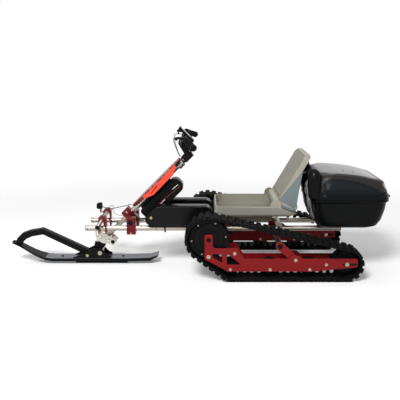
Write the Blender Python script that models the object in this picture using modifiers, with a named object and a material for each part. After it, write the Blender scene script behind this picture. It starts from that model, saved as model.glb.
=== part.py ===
# Snow go-kart: one steered ski in front, two driven belt units behind, a folding seat and a rear case.
# Metres. +X is forward, +Y is the kart's left, +Z is up, and the ground is at Z = 0.
import math

import bmesh
import bpy
from mathutils import Matrix, Vector

for leftover in list(bpy.data.objects):
    bpy.data.objects.remove(leftover, do_unlink=True)

# Overall sizes and running clearances
LENGTH = 2.342
FIT_GAP = 0.0003
PIVOT_GAP = 0.0005
SIDES = (("left", 1), ("right", -1))

# Frame tubes
RAIL_RADIUS = 0.016
RAIL_Y = 0.105
RAIL_Z = 0.247
RAIL_FRONT_X = 0.684
RAIL_REAR_X = -0.883
CROSS_TUBE_RADIUS = 0.016
TUBE_SIDES = 16
BORE_SIDES = 32

# Inclined steering column: the axis leaves (COLUMN_X, COLUMN_Z) up and back at 45 degrees
COLUMN_X = 0.593
COLUMN_Z = 0.1475
COLUMN_RAKE = math.radians(45)
COLUMN_RADIUS = 0.015
COLUMN_LENGTH = 0.784
SLEEVE_RADIUS = 0.018
SLEEVE_START = 0.206
SLEEVE_END = 0.708
SLEEVE_COLLAR_START = 0.667
SLEEVE_COLLAR_RADIUS = 0.0242
SLEEVE_COLLAR_SHIFT = 0.0044

# Front crossbar with its two rail clamps, and the clamp that holds the column
CROSSBAR_Z = 0.288
CROSSBAR_HALF = 0.140
CROSSBAR_WALL = 0.003
RAIL_CLAMP_WIDTH = 0.055
RAIL_CLAMP_SHIFT = 0.004
RAIL_CLAMP_DEPTH = 0.060
RAIL_CLAMP_TOP = 0.316
RAIL_CLAMP_BOTTOM = 0.213
COLUMN_CLAMP_START = 0.206
COLUMN_CLAMP_END = 0.264
COLUMN_CLAMP_FRONT = 0.040
COLUMN_CLAMP_BACK = 0.058
COLUMN_CLAMP_HALF = 0.028

# Foot rest across the front of the rails
FOOT_TUBE_RADIUS = 0.0125
FOOT_TUBE_X = 0.581
FOOT_TUBE_Z = 0.3035
# Half of the foot tube: its bend beside the hoop and its lower, forward end
FOOT_TUBE_BEND_Y = 0.112
FOOT_TUBE_END = (0.6016, 0.200, 0.2720)
HOOP_WIDTH = 0.046
HOOP_OUTER = 0.0255
HOOP_INNER = 0.0120
HOOP_LEG_INNER = 0.0155
HOOP_BOTTOM = 0.217
HOOP_TOP = FOOT_TUBE_Z + HOOP_OUTER

# Headlight on a stub in front of the right hoop
LAMP_X = 0.629
LAMP_Z = 0.342
LAMP_WIDTH = 0.034
LAMP_HEIGHT = 0.036
LAMP_DEPTH = 0.030
LAMP_STALK = 0.008

# Batteries
BATTERY_WIDTH = 0.090
BATTERY_HEIGHT = 0.120
BATTERY_FRONT_X = 0.312
BATTERY_LENGTH = 0.408
BATTERY_FOOT = 0.008
COLUMN_BATTERY_START = 0.300
COLUMN_BATTERY_END = 0.616
COLUMN_BATTERY_DEPTH = 0.094
COLUMN_BATTERY_RAIL = 0.012
COLUMN_BATTERY_RAIL_WIDTH = 0.030

# Faceted cover in front of the column: distance up the column, half width of the front face,
# half width over the wings, and how far behind the column axis the wings end
COVER_STATIONS = (
    (0.290, 0.006, 0.016, -0.0235),
    (0.385, 0.052, 0.078, -0.008),
    (0.450, 0.060, 0.105, 0.013),
    (0.615, 0.056, 0.098, 0.011),
    (0.665, 0.052, 0.078, -0.006),
    (0.706, 0.046, 0.056, -0.016),
)
COVER_FRONT = 0.0250
COVER_WALL = 0.004
COVER_PAD = 0.026
COVER_PAD_PLACES = (0.400, 0.600)

# Track units
TRACK_INNER_Y = 0.270
TRACK_OUTER_Y = 0.410
BELT_THICKNESS = 0.010
LUG_HEIGHT = 0.010
LUG_LENGTH = 0.022
LUG_TAPER = 0.004
LUG_PITCH = 0.043
DRIVE_X = -0.070
DRIVE_Z = 0.2500
DRIVE_RADIUS = 0.1190
IDLER_X = -0.871
IDLER_RADIUS = 0.080
ROAD_WHEEL_RADIUS = 0.052
ROAD_WHEEL_X = (-0.196, -0.426, -0.656)
PLATE_THICKNESS = 0.006
OUTER_PLATE_Y = 0.3975
INNER_PLATE_Y = 0.2825
WHEEL_INNER_Y = 0.297
WHEEL_FACE_Y = 0.340
WHEEL_SIDES = 32
ROAD_WHEEL_SIDES = 24

# Side plate of a track unit
PLATE_FRONT_X = -0.046
PLATE_UPRIGHT_WIDTH = 0.048
PLATE_TOP_Z = 0.282
PLATE_CHIN_Z = 0.135
PLATE_BOTTOM_Z = 0.0615
PLATE_SHELF_Z = 0.201
PLATE_BEAM_Z = 0.138
PLATE_REAR_X = -0.932
HUMP_X = -0.568
HUMP_RISE = 0.0175
HUMP_HALF_TOP = 0.022
HUMP_HALF_BASE = 0.045

# Cross tubes under the rails that carry the track units
UNDER_TUBE_Z = 0.210
REAR_TUBE_X = -0.482
SADDLE_HALF_X = 0.021
SADDLE_HALF_Y = 0.026
LINK_ARM_WIDTH = 0.050
LINK_ARM_THICKNESS = 0.012
LINK_PIVOT_X = -0.573
LINK_PIVOT_Z = 0.129
LINK_PIVOT_RADIUS = 0.006

# Seat bracket, control unit and moulded seat
SEAT_PLATE_Z = 0.327
BRACKET_SHEET = 0.006
BRACKET_HALF_Y = 0.128
BRACKET_FRONT_X = -0.160
BRACKET_REAR_X = -0.492
BRACKET_FOOT = 0.032
CONTROL_FRONT_X = -0.200
CONTROL_REAR_X = -0.350
CONTROL_HALF_Y = 0.080
CONTROL_BOTTOM_Z = 0.216
SEAT_RIM_Z = 0.402
SEAT_HALF_Y = 0.210
# Moulded seat outside and inside: height, front and rear ends, half width, corner radius
SEAT_OUTSIDE = (
    (0.3333, -0.150, -0.580, 0.165, 0.040),
    (0.3480, -0.122, -0.598, 0.188, 0.045),
    (0.3530, -0.107, -0.603, 0.2140, 0.050),
    (0.3640, -0.105, -0.604, 0.2155, 0.052),
    (SEAT_RIM_Z, -0.110, -0.600, 0.2090, 0.049),
)
SEAT_INSIDE = (
    (0.3430, -0.160, -0.570, 0.155, 0.040),
    (0.3600, -0.129, -0.590, 0.183, 0.045),
    (SEAT_RIM_Z, -0.119, -0.591, 0.2010, 0.041),
)
SEAT_REAR_SLOPE = math.radians(22)
SEAT_HINGE_X = -0.472
SEAT_HINGE_Z = 0.412
EAR_RADIUS = 0.032
EAR_THICKNESS = 0.012
SEAT_PIN_RADIUS = 0.005
SEAT_PIN_DEPTH = 0.010
BACK_RECLINE = math.radians(30)
BACK_SIDE_CLEARANCE = 0.006
BACK_LENGTH = 0.358
BACK_DEPTH = 0.122
BACK_EDGE = 0.034
BACK_FLANGE = 0.036
BACK_RECESS = 0.018
BACK_PANEL = 0.010
BACK_SIDE_WALL = 0.012
BACK_TOP_CORNER = 0.045

# Rear case: height, front and rear ends, half width, corner radius
CASE_SEAM_Z = 0.456
CASE_SEAM_GAP = 0.0006
CASE_WALL = 0.0045
CASE_BASE_SECTIONS = (
    (0.2840, -0.738, -1.050, 0.242, 0.060),
    (0.2930, -0.720, -1.082, 0.254, 0.070),
    (0.3260, -0.710, -1.108, 0.262, 0.080),
    (0.3860, -0.699, -1.126, 0.267, 0.082),
    (0.4340, -0.694, -1.134, 0.269, 0.083),
    (0.4400, -0.686, -1.144, 0.275, 0.085),
    (CASE_SEAM_Z - CASE_SEAM_GAP / 2, -0.686, -1.145, 0.275, 0.085),
)
CASE_LID_SECTIONS = (
    (CASE_SEAM_Z + CASE_SEAM_GAP / 2, -0.686, -1.145, 0.275, 0.085),
    (0.5250, -0.693, -1.125, 0.266, 0.085),
    (0.5880, -0.714, -1.110, 0.240, 0.080),
    (0.6080, -0.752, -1.030, 0.214, 0.070),
)
CASE_LID_SLOPE_START = 0.525
CASE_LID_DROP = 0.048
CASE_CORNER_STEPS = 5
CASE_HINGE_RADIUS = 0.0075
CASE_HINGE_X = -LENGTH / 2 + CASE_HINGE_RADIUS
KNUCKLE_LENGTH = 0.040
BASE_KNUCKLES_Y = (-0.120, 0.120)
LID_KNUCKLES_Y = (-0.078, 0.078)
CARRIER_FRONT_X = -0.750
CARRIER_REAR_X = -0.875
CARRIER_HALF_Y = 0.130

# Ski sections from the tail: distance, height of the sole, height of the deck, half width
SKI_SECTIONS = (
    (0.247, 0.047, 0.056, 0.046),
    (0.300, 0.019, 0.040, 0.052),
    (0.420, 0.018, 0.0365, 0.055),
    (0.920, 0.018, 0.0365, 0.055),
    (0.960, 0.025, 0.042, 0.054),
    (1.000, 0.040, 0.054, 0.051),
    (1.040, 0.060, 0.072, 0.047),
    (1.080, 0.083, 0.094, 0.042),
    (1.120, 0.106, 0.119, 0.036),
    (LENGTH / 2, 0.126, 0.138, 0.024),
)
KEEL_FRONT_X = 0.772
KEEL_REAR_X = 0.444
KEEL_HALF_Y = 0.030
HANDLE_HALF_Y = 0.024
HANDLE_PEAK_X = 0.975
HANDLE_PEAK_Z = 0.222
HANDLE_REAR_X = 0.690
HANDLE_NOSE_X = 1.150
HANDLE_NOSE_FOOT = 0.036
SADDLE_TOP = (
    (0.790, None), (0.709, 0.0735), (0.653, 0.100), (0.605, 0.097), (0.568, 0.058), (0.548, 0.050), (0.548, None),
)
SADDLE_PLATE = 0.006
SADDLE_HALF = 0.046
SKI_PIVOT_X = 0.614
SKI_PIVOT_Z = 0.069
SKI_PIN_RADIUS = 0.006
SPINDLE_HALF_Y = 0.020
SPINDLE_RADIUS = 0.0165
SPINDLE_FRONT = ((0.652, 0.112), (0.648, 0.138), (0.628, 0.150))
SPINDLE_REAR = ((0.596, 0.166), (0.577, 0.148), (0.582, 0.112))

# Truss link on the foot of the column
TRUSS_Y = 0.043
TRUSS_THICKNESS = 0.006
TRUSS_HOUSING_X = 0.530
TRUSS_HOUSING_Z = 0.144
TRUSS_HOUSING_HALF = 0.019
TRUSS_COLLAR_START = 0.004
TRUSS_COLLAR_END = 0.044
TRUSS_COLLAR_HALF = 0.0185

# Handlebar and stem
STEM_START = 0.722
STEM_END = 0.786
STEM_HALF_Y = 0.020
STEM_CLAMP_RADIUS = 0.024
STEM_TOP_RADIUS = 0.022
BAR_X = 0.094
BAR_Z = 0.764
BAR_RADIUS = 0.011
GRIP_RADIUS = 0.018
GRIP_INNER_Y = 0.235
BAR_END_Y = 0.365
BAR_RISE = 0.040
BAR_INNER_SWEEP = 0.034
BAR_SWEEP = 0.076
BAR_END_RISE = 0.013

# Display plate above the bar, as distances up the column and behind its axis
DISPLAY_ALONG = 0.845
DISPLAY_FRONT = -0.160
DISPLAY_REAR = -0.038
DISPLAY_THICKNESS = 0.014
DISPLAY_HALF_Y = 0.036
DISPLAY_FOOT = 0.026
DISPLAY_FOOT_SHIFT = 0.012

# Finishes: colour, roughness, metallic
FINISHES = {
    "bare_alloy": ((0.78, 0.74, 0.70, 1), 0.30, 1.0),
    "red_anodised": ((0.30, 0.010, 0.016, 1), 0.35, 0.6),
    "black_plastic": ((0.012, 0.012, 0.013, 1), 0.45, 0.0),
    "black_rubber": ((0.010, 0.010, 0.010, 1), 0.80, 0.0),
    "orange_cover": ((0.90, 0.08, 0.03, 1), 0.35, 0.0),
    "seat_plastic": ((0.36, 0.35, 0.30, 1), 0.50, 0.0),
    "black_paint": ((0.015, 0.015, 0.016, 1), 0.35, 0.3),
}

parts = bpy.data.collections.new("snow_go_kart")
cutters = bpy.data.collections.new("cutters")
bpy.context.scene.collection.children.link(parts)
bpy.context.scene.collection.children.link(cutters)


def finish_material(key):
    """One Principled material for each finish."""
    found = bpy.data.materials.get(key)
    if found:
        return found
    colour, roughness, metallic = FINISHES[key]
    made = bpy.data.materials.new(key)
    made.use_nodes = True
    shader = made.node_tree.nodes["Principled BSDF"]
    shader.inputs["Base Color"].default_value = colour
    shader.inputs["Roughness"].default_value = roughness
    shader.inputs["Metallic"].default_value = metallic
    return made


def add_piece(name, data, finish, matrix=Matrix()):
    """Puts a named piece into the kart's collection."""
    piece = bpy.data.objects.new(name, data)
    piece.matrix_world = matrix
    data.materials.append(finish_material(finish))
    parts.objects.link(piece)
    return piece


def add_helper(name, data, matrix=Matrix()):
    """Puts a cutter, or a shape that is joined to a piece, out of sight."""
    helper = bpy.data.objects.new(name, data)
    helper.matrix_world = matrix
    helper.hide_render = True
    helper.display_type = "WIRE"
    cutters.objects.link(helper)
    return helper


def turn_to(direction):
    """Rotation that takes +Z to a direction."""
    return Vector(direction).to_track_quat("Z", "Y").to_matrix().to_4x4()


def in_side_view(y=0.0):
    """Places a flat outline, drawn as X and Z, upright at a distance Y."""
    return Matrix.Translation((0, y, 0)) @ Matrix.Rotation(math.pi / 2, 4, "X")


def circle_points(centre, radius, sides=BORE_SIDES):
    """A ring of points around a centre, for holes and discs."""
    turns = [2 * math.pi * (i + 0.5) / sides for i in range(sides)]
    return [(centre[0] + radius * math.cos(t), centre[1] + radius * math.sin(t)) for t in turns]


def clear_radius(radius, gap=FIT_GAP, sides=BORE_SIDES):
    """Corner radius of a many-sided bore whose flats clear a shaft by the gap."""
    return (radius + gap) / math.cos(math.pi / sides)


def arc_points(centre, radius, start, end, steps):
    """Points along an arc, angles in degrees."""
    turns = [math.radians(start + (end - start) * i / steps) for i in range(steps + 1)]
    return [(centre[0] + radius * math.cos(t), centre[1] + radius * math.sin(t)) for t in turns]


def outline_curve(name, outlines, thickness):
    """A flat outline with holes, as thick as given about its own plane."""
    curve = bpy.data.curves.new(name, "CURVE")
    curve.dimensions = "2D"
    curve.fill_mode = "BOTH"
    curve.extrude = thickness / 2
    for outline in outlines:
        spline = curve.splines.new("POLY")
        spline.points.add(len(outline) - 1)
        for point, (x, y) in zip(spline.points, outline):
            point.co = (x, y, 0, 1)
        spline.use_cyclic_u = True
    return curve


def tube_curve(name, points, radius, sides=TUBE_SIDES):
    """A round bar through the given points."""
    curve = bpy.data.curves.new(name, "CURVE")
    curve.dimensions = "3D"
    curve.bevel_depth = radius
    curve.bevel_resolution = (sides - 4) // 2
    curve.use_fill_caps = True
    spline = curve.splines.new("POLY")
    spline.points.add(len(points) - 1)
    for point, place in zip(spline.points, points):
        point.co = (*place, 1)
    return curve


def curve_to_mesh(curve_object):
    """Replaces a curve object by a closed mesh object of the same name, finish and place."""
    depsgraph = bpy.context.evaluated_depsgraph_get()
    mesh = bpy.data.meshes.new_from_object(curve_object.evaluated_get(depsgraph))
    body = bmesh.new()
    body.from_mesh(mesh)
    bmesh.ops.remove_doubles(body, verts=body.verts, dist=0.000001)
    bmesh.ops.recalc_face_normals(body, faces=body.faces)
    body.to_mesh(mesh)
    body.free()
    name, home = curve_object.name, curve_object.users_collection[0]
    matrix, hidden = curve_object.matrix_world.copy(), curve_object.hide_render
    bpy.data.objects.remove(curve_object, do_unlink=True)
    made = bpy.data.objects.new(name, mesh)
    made.matrix_world = matrix
    made.hide_render = hidden
    home.objects.link(made)
    return made


def box_mesh(name, size):
    """A box about its own centre."""
    mesh = bpy.data.meshes.new(name)
    body = bmesh.new()
    bmesh.ops.create_cube(body, size=1, matrix=Matrix.Diagonal((*size, 1)))
    body.to_mesh(mesh)
    body.free()
    return mesh


def rod_mesh(name, radius, length, sides=BORE_SIDES):
    """A rod along its own Z, about its own centre."""
    mesh = bpy.data.meshes.new(name)
    body = bmesh.new()
    bmesh.ops.create_cone(
        body, cap_ends=True, segments=sides, radius1=radius, radius2=radius, depth=length,
        matrix=Matrix.Rotation(math.pi / sides, 4, "Z"))
    body.to_mesh(mesh)
    body.free()
    return mesh


def combine(piece, helper, operation):
    """Cuts a helper from a piece, or joins it to the piece."""
    step = piece.modifiers.new(helper.name, "BOOLEAN")
    step.object = helper
    step.operation = operation
    step.solver = "EXACT"


def cut_box(piece, centre, size, matrix=None):
    place = matrix or Matrix.Translation(centre)
    combine(piece, add_helper(piece.name + "_cut", box_mesh("cut", size), place), "DIFFERENCE")


def join_box(piece, centre, size, matrix=None):
    place = matrix or Matrix.Translation(centre)
    combine(piece, add_helper(piece.name + "_block", box_mesh("block", size), place), "UNION")


def cut_rod(piece, centre, direction, radius, length):
    place = Matrix.Translation(centre) @ turn_to(direction)
    combine(piece, add_helper(piece.name + "_bore", rod_mesh("bore", radius, length), place), "DIFFERENCE")


def join_rod(piece, centre, direction, radius, length, sides=BORE_SIDES):
    place = Matrix.Translation(centre) @ turn_to(direction)
    combine(piece, add_helper(piece.name + "_rod", rod_mesh("rod", radius, length, sides), place), "UNION")


def join_outline(piece, outlines, thickness, y):
    """Joins a flat shape drawn in side view to a piece."""
    curve = outline_curve(piece.name + "_shape", outlines, thickness)
    helper = curve_to_mesh(add_helper(piece.name + "_shape", curve, in_side_view(y)))
    helper.display_type = "WIRE"
    combine(piece, helper, "UNION")


def side_piece(name, outlines, thickness, y, finish):
    """A flat piece drawn in side view as X and Z, centred at Y, as a closed mesh."""
    return curve_to_mesh(add_piece(name, outline_curve(name, outlines, thickness), finish, in_side_view(y)))


def turned_piece(name, profile, x, z, side, finish, sides):
    """A wheel whose profile of radius and Y is turned about an axle along Y."""
    mesh = bpy.data.meshes.new(name)
    points = [(radius, 0, y) for radius, y in profile]
    mesh.from_pydata(points, [(i, i + 1) for i in range(len(points) - 1)], [])
    place = Matrix.Translation((x, 0, z)) @ Matrix.Rotation(-side * math.pi / 2, 4, "X")
    wheel = add_piece(name, mesh, finish, place)
    turn = wheel.modifiers.new("turn", "SCREW")
    turn.axis = "Z"
    turn.steps = turn.render_steps = sides
    turn.use_merge_vertices = True
    turn.merge_threshold = 0.00001
    return wheel


def column_point(along, behind=0.0, y=0.0):
    """A point given by its distance up the column and its distance behind the axis."""
    up, back = math.sin(COLUMN_RAKE), math.cos(COLUMN_RAKE)
    return Vector((COLUMN_X - back * along - up * behind, y, COLUMN_Z + up * along - back * behind))


COLUMN_AXIS = (column_point(1) - column_point(0)).normalized()


def column_frame(along, behind=0.0):
    """A frame on the column: X points behind it, Y to the left, Z up along it."""
    up, back = math.sin(COLUMN_RAKE), math.cos(COLUMN_RAKE)
    turn = Matrix(((-up, 0, -back, 0), (0, 1, 0, 0), (-back, 0, up, 0), (0, 0, 0, 1)))
    mirror_free = Matrix(((turn[0][0], 0, turn[0][2], 0), (0, -1, 0, 0), (turn[2][0], 0, turn[2][2], 0), (0, 0, 0, 1)))
    return Matrix.Translation(column_point(along, behind)) @ mirror_free


CROSSBAR_OFFSET = SLEEVE_RADIUS + CROSS_TUBE_RADIUS + CROSSBAR_WALL
CROSSBAR_X = (COLUMN_X + (COLUMN_Z - CROSSBAR_Z) / math.tan(COLUMN_RAKE)
              - CROSSBAR_OFFSET / math.sin(COLUMN_RAKE))


def make_rails():
    for label, side in SIDES:
        name = label + "_frame_rail"
        ends = [(RAIL_REAR_X, side * RAIL_Y, RAIL_Z), (RAIL_FRONT_X, side * RAIL_Y, RAIL_Z)]
        add_piece(name, tube_curve(name, ends, RAIL_RADIUS), "bare_alloy")


def cut_rails_out(piece, x, length):
    """Bores a piece for both rails."""
    for label, side in SIDES:
        cut_rod(piece, (x, side * RAIL_Y, RAIL_Z), (1, 0, 0), clear_radius(RAIL_RADIUS), length)


def cross_tube(name, x, z, half, radius, finish="bare_alloy"):
    """A tube across the kart, as a mesh that can be cut and joined."""
    curve = tube_curve(name, [(x, -half, z), (x, half, z)], radius)
    return curve_to_mesh(add_piece(name, curve, finish))


def make_front_crossbar():
    bar = cross_tube("front_crossbar", CROSSBAR_X, CROSSBAR_Z, CROSSBAR_HALF, CROSS_TUBE_RADIUS)
    height = RAIL_CLAMP_TOP - RAIL_CLAMP_BOTTOM
    for label, side in SIDES:
        centre = (CROSSBAR_X + RAIL_CLAMP_SHIFT, side * RAIL_Y, RAIL_CLAMP_BOTTOM + height / 2)
        join_box(bar, centre, (RAIL_CLAMP_WIDTH, RAIL_CLAMP_DEPTH, height))
    cut_rails_out(bar, CROSSBAR_X, 2 * RAIL_CLAMP_WIDTH)


def make_column_clamp():
    corners = [
        column_point(COLUMN_CLAMP_START, -COLUMN_CLAMP_FRONT),
        column_point(COLUMN_CLAMP_END, -COLUMN_CLAMP_FRONT),
        column_point(COLUMN_CLAMP_END, COLUMN_CLAMP_BACK),
        column_point(COLUMN_CLAMP_START, COLUMN_CLAMP_BACK),
    ]
    outline = [(corner.x, corner.z) for corner in corners]
    bore = circle_points((CROSSBAR_X, CROSSBAR_Z), clear_radius(CROSS_TUBE_RADIUS))
    clamp = side_piece("column_clamp", [outline, bore], 2 * COLUMN_CLAMP_HALF, 0, "red_anodised")
    middle = column_point((COLUMN_CLAMP_START + COLUMN_CLAMP_END) / 2)
    cut_rod(clamp, middle, COLUMN_AXIS, clear_radius(SLEEVE_RADIUS), 0.2)


def make_steering_sleeve():
    length = SLEEVE_END - SLEEVE_START
    place = column_frame((SLEEVE_START + SLEEVE_END) / 2)
    sleeve = add_piece("steering_sleeve", rod_mesh("steering_sleeve", SLEEVE_RADIUS, length), "bare_alloy", place)
    collar = column_point((SLEEVE_COLLAR_START + SLEEVE_END) / 2, SLEEVE_COLLAR_SHIFT)
    join_rod(sleeve, collar, COLUMN_AXIS, SLEEVE_COLLAR_RADIUS, SLEEVE_END - SLEEVE_COLLAR_START - 0.0004)
    cut_rod(sleeve, column_point(SLEEVE_END), COLUMN_AXIS, clear_radius(COLUMN_RADIUS), 4 * length)


def make_foot_rest():
    """Cross tube with lowered ends, held over each rail by a hoop that straddles it."""
    end_x, end_y, end_z = FOOT_TUBE_END
    points = [(end_x, -end_y, end_z), (FOOT_TUBE_X, -FOOT_TUBE_BEND_Y, FOOT_TUBE_Z),
              (FOOT_TUBE_X, FOOT_TUBE_BEND_Y, FOOT_TUBE_Z), (end_x, end_y, end_z)]
    rest = curve_to_mesh(add_piece("foot_rest", tube_curve("foot_rest", points, FOOT_TUBE_RADIUS), "bare_alloy"))
    middle = (FOOT_TUBE_X, FOOT_TUBE_Z)
    outer = arc_points(middle, HOOP_OUTER, 0, 180, 12)
    inner = arc_points(middle, HOOP_INNER, 180, 0, 10)
    shoulder = FOOT_TUBE_Z - HOOP_LEG_INNER
    outline = ([(FOOT_TUBE_X + HOOP_OUTER, HOOP_BOTTOM)] + outer + [(FOOT_TUBE_X - HOOP_OUTER, HOOP_BOTTOM)]
               + [(FOOT_TUBE_X - HOOP_LEG_INNER, HOOP_BOTTOM), (FOOT_TUBE_X - HOOP_LEG_INNER, shoulder)] + inner
               + [(FOOT_TUBE_X + HOOP_LEG_INNER, shoulder), (FOOT_TUBE_X + HOOP_LEG_INNER, HOOP_BOTTOM)])
    for label, side in SIDES:
        join_outline(rest, [outline], HOOP_WIDTH, side * RAIL_Y)
    cut_rails_out(rest, FOOT_TUBE_X, 4 * HOOP_OUTER)


def make_headlight():
    """Lamp on a stub that butts against the front of the right hoop."""
    lamp = add_piece("headlight", box_mesh("headlight", (LAMP_DEPTH, LAMP_WIDTH, LAMP_HEIGHT)),
                     "black_plastic", Matrix.Translation((LAMP_X, -RAIL_Y, LAMP_Z)))
    start = LAMP_Z - LAMP_HEIGHT / 2 + 0.006
    foot_z = HOOP_TOP - HOOP_OUTER
    join_box(lamp, (LAMP_X - 0.005, -RAIL_Y, (start + foot_z) / 2), (LAMP_STALK, LAMP_STALK, start - foot_z))
    seat_x = FOOT_TUBE_X + HOOP_OUTER + FIT_GAP
    reach = LAMP_X - 0.002 - seat_x
    join_box(lamp, (seat_x + reach / 2, -RAIL_Y, foot_z), (reach, 2 * LAMP_STALK, LAMP_STALK))


def make_batteries():
    foot_z = RAIL_Z + RAIL_RADIUS + FIT_GAP
    base_z = foot_z + BATTERY_FOOT
    top_z = base_z + BATTERY_HEIGHT
    rear_x = BATTERY_FRONT_X - BATTERY_LENGTH
    outline = (
        [(BATTERY_FRONT_X - 0.018, base_z), (BATTERY_FRONT_X, base_z + 0.020)]
        + [(BATTERY_FRONT_X - 0.004, base_z + 0.056), (BATTERY_FRONT_X - 0.052, top_z - 0.010)]
        + [(BATTERY_FRONT_X - 0.085, top_z)]
        + arc_points((rear_x + 0.045, top_z - 0.045), 0.045, 90, 180, 5)
        + arc_points((rear_x + 0.015, base_z + 0.015), 0.015, 180, 270, 3)
    )
    foot = [(BATTERY_FRONT_X - 0.040, foot_z), (BATTERY_FRONT_X - 0.040, base_z + 0.01)]
    foot += [(rear_x + 0.040, base_z + 0.01), (rear_x + 0.040, foot_z)]
    for label, side in SIDES:
        battery = side_piece(label + "_battery", [outline], BATTERY_WIDTH, side * RAIL_Y, "black_plastic")
        join_outline(battery, [foot], 0.5 * BATTERY_WIDTH, side * RAIL_Y)


def make_column_battery():
    """Battery on a narrow rail that lies along the back of the sleeve."""
    near = SLEEVE_RADIUS + FIT_GAP + COLUMN_BATTERY_RAIL
    depth, length = COLUMN_BATTERY_DEPTH, COLUMN_BATTERY_END - COLUMN_BATTERY_START
    top_round, foot_round = 0.040, 0.018
    outline = (
        arc_points((near + foot_round, foot_round), foot_round, 180, 270, 3)
        + arc_points((near + depth - foot_round, foot_round), foot_round, 270, 360, 3)
        + arc_points((near + depth - top_round, length - top_round), top_round, 0, 90, 5)
        + arc_points((near + top_round, length - top_round), top_round, 90, 180, 5)
    )
    points = [column_point(COLUMN_BATTERY_START + along, behind) for behind, along in outline]
    battery = side_piece("column_battery", [[(p.x, p.z) for p in points]], BATTERY_WIDTH, 0, "black_plastic")
    rail_length = length - top_round - foot_round
    rail_depth = COLUMN_BATTERY_RAIL + 0.004
    middle = COLUMN_BATTERY_START + foot_round + rail_length / 2
    join_box(battery, None, (rail_depth, COLUMN_BATTERY_RAIL_WIDTH, rail_length),
             column_frame(middle, SLEEVE_RADIUS + FIT_GAP + rail_depth / 2))


def make_front_cover():
    """Half of the faceted cover, open at the middle plane, then mirrored and given its wall."""
    mesh = bpy.data.meshes.new("front_cover")
    body = bmesh.new()
    rows = []
    for along, face, wing, reach in COVER_STATIONS:
        row = [column_point(along, -COVER_FRONT, 0), column_point(along, -COVER_FRONT, face),
               column_point(along, reach, wing)]
        rows.append([body.verts.new(point) for point in row])
    for low, high in zip(rows, rows[1:]):
        for column in range(2):
            body.faces.new((low[column], low[column + 1], high[column + 1], high[column]))
    bmesh.ops.recalc_face_normals(body, faces=body.faces)
    if sum(face.normal.x for face in body.faces) < 0:
        bmesh.ops.reverse_faces(body, faces=body.faces)
    body.to_mesh(mesh)
    body.free()
    cover = add_piece("front_cover", mesh, "orange_cover")
    mirror = cover.modifiers.new("halves", "MIRROR")
    mirror.use_axis = (False, True, False)
    mirror.merge_threshold = 0.0001
    wall = cover.modifiers.new("wall", "SOLIDIFY")
    wall.thickness = COVER_WALL
    wall.offset = -1
    depth = COVER_FRONT - SLEEVE_RADIUS - FIT_GAP - COVER_WALL / 2
    for along in COVER_PAD_PLACES:
        place = column_frame(along, -SLEEVE_RADIUS - FIT_GAP - depth / 2)
        join_box(cover, None, (depth, COVER_PAD, COVER_PAD), place)


def belt_path(circles, offset, steps):
    """Outline around circles given as centre and radius, in order, as a belt would lie on them."""
    points = []
    count = len(circles)
    for index, ((cx, cz), radius) in enumerate(circles):
        (px, pz), before = circles[index - 1]
        (nx, nz), after = circles[(index + 1) % count]
        start = tangent_angle((px, pz), before, (cx, cz), radius)
        end = tangent_angle((cx, cz), radius, (nx, nz), after)
        while end < start:
            end += 2 * math.pi
        turns = max(1, round(steps * (end - start) / (2 * math.pi)))
        points += arc_points((cx, cz), radius + offset, math.degrees(start), math.degrees(end), turns)
    return points


def tangent_angle(centre_a, radius_a, centre_b, radius_b):
    """Angle of the outward normal of the outer tangent from one circle to the next, anticlockwise."""
    dx, dz = centre_b[0] - centre_a[0], centre_b[1] - centre_a[1]
    heading = math.atan2(dz, dx)
    return heading - math.pi / 2 + math.asin((radius_a - radius_b) / math.hypot(dx, dz))


def walk_outline(points, places):
    """Points and outward normals at distances along a closed outline that runs anticlockwise."""
    result = []
    legs = list(zip(points, points[1:] + points[:1]))
    lengths = [math.dist(a, b) for a, b in legs]
    total = sum(lengths)
    for place in places:
        left = place % total
        for (a, b), length in zip(legs, lengths):
            if left <= length and length > 1e-9:
                share = left / length
                point = (a[0] + share * (b[0] - a[0]), a[1] + share * (b[1] - a[1]))
                normal = ((b[1] - a[1]) / length, -(b[0] - a[0]) / length)
                result.append((point, normal))
                break
            left -= length
    return result, total


def track_circles():
    sole = LUG_HEIGHT + BELT_THICKNESS + FIT_GAP
    return [
        ((IDLER_X, sole + IDLER_RADIUS), IDLER_RADIUS),
        ((ROAD_WHEEL_X[0], sole + ROAD_WHEEL_RADIUS), ROAD_WHEEL_RADIUS),
        ((DRIVE_X, DRIVE_Z), DRIVE_RADIUS),
    ]


def track_outline():
    """Outside of the belt with its lugs, evenly spaced around the whole loop."""
    surface = belt_path(track_circles(), FIT_GAP + BELT_THICKNESS, 72)
    _, total = walk_outline(surface, [])
    count = round(total / LUG_PITCH)
    pitch = total / count
    outline = []
    for index in range(count):
        start = index * pitch
        offsets = ((0, 0), (LUG_TAPER, LUG_HEIGHT), (LUG_LENGTH - LUG_TAPER, LUG_HEIGHT), (LUG_LENGTH, 0),
                   ((LUG_LENGTH + pitch) / 2, 0))
        spots, _ = walk_outline(surface, [start + along for along, _ in offsets])
        for (point, normal), (_, height) in zip(spots, offsets):
            outline.append((point[0] + normal[0] * height, point[1] + normal[1] * height))
    return outline


def make_tracks():
    outer = track_outline()
    inner = belt_path(track_circles(), FIT_GAP, 48)
    width = TRACK_OUTER_Y - TRACK_INNER_Y
    middle = (TRACK_OUTER_Y + TRACK_INNER_Y) / 2
    for label, side in SIDES:
        side_piece(label + "_track", [outer, inner], width, side * middle, "black_rubber")


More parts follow.
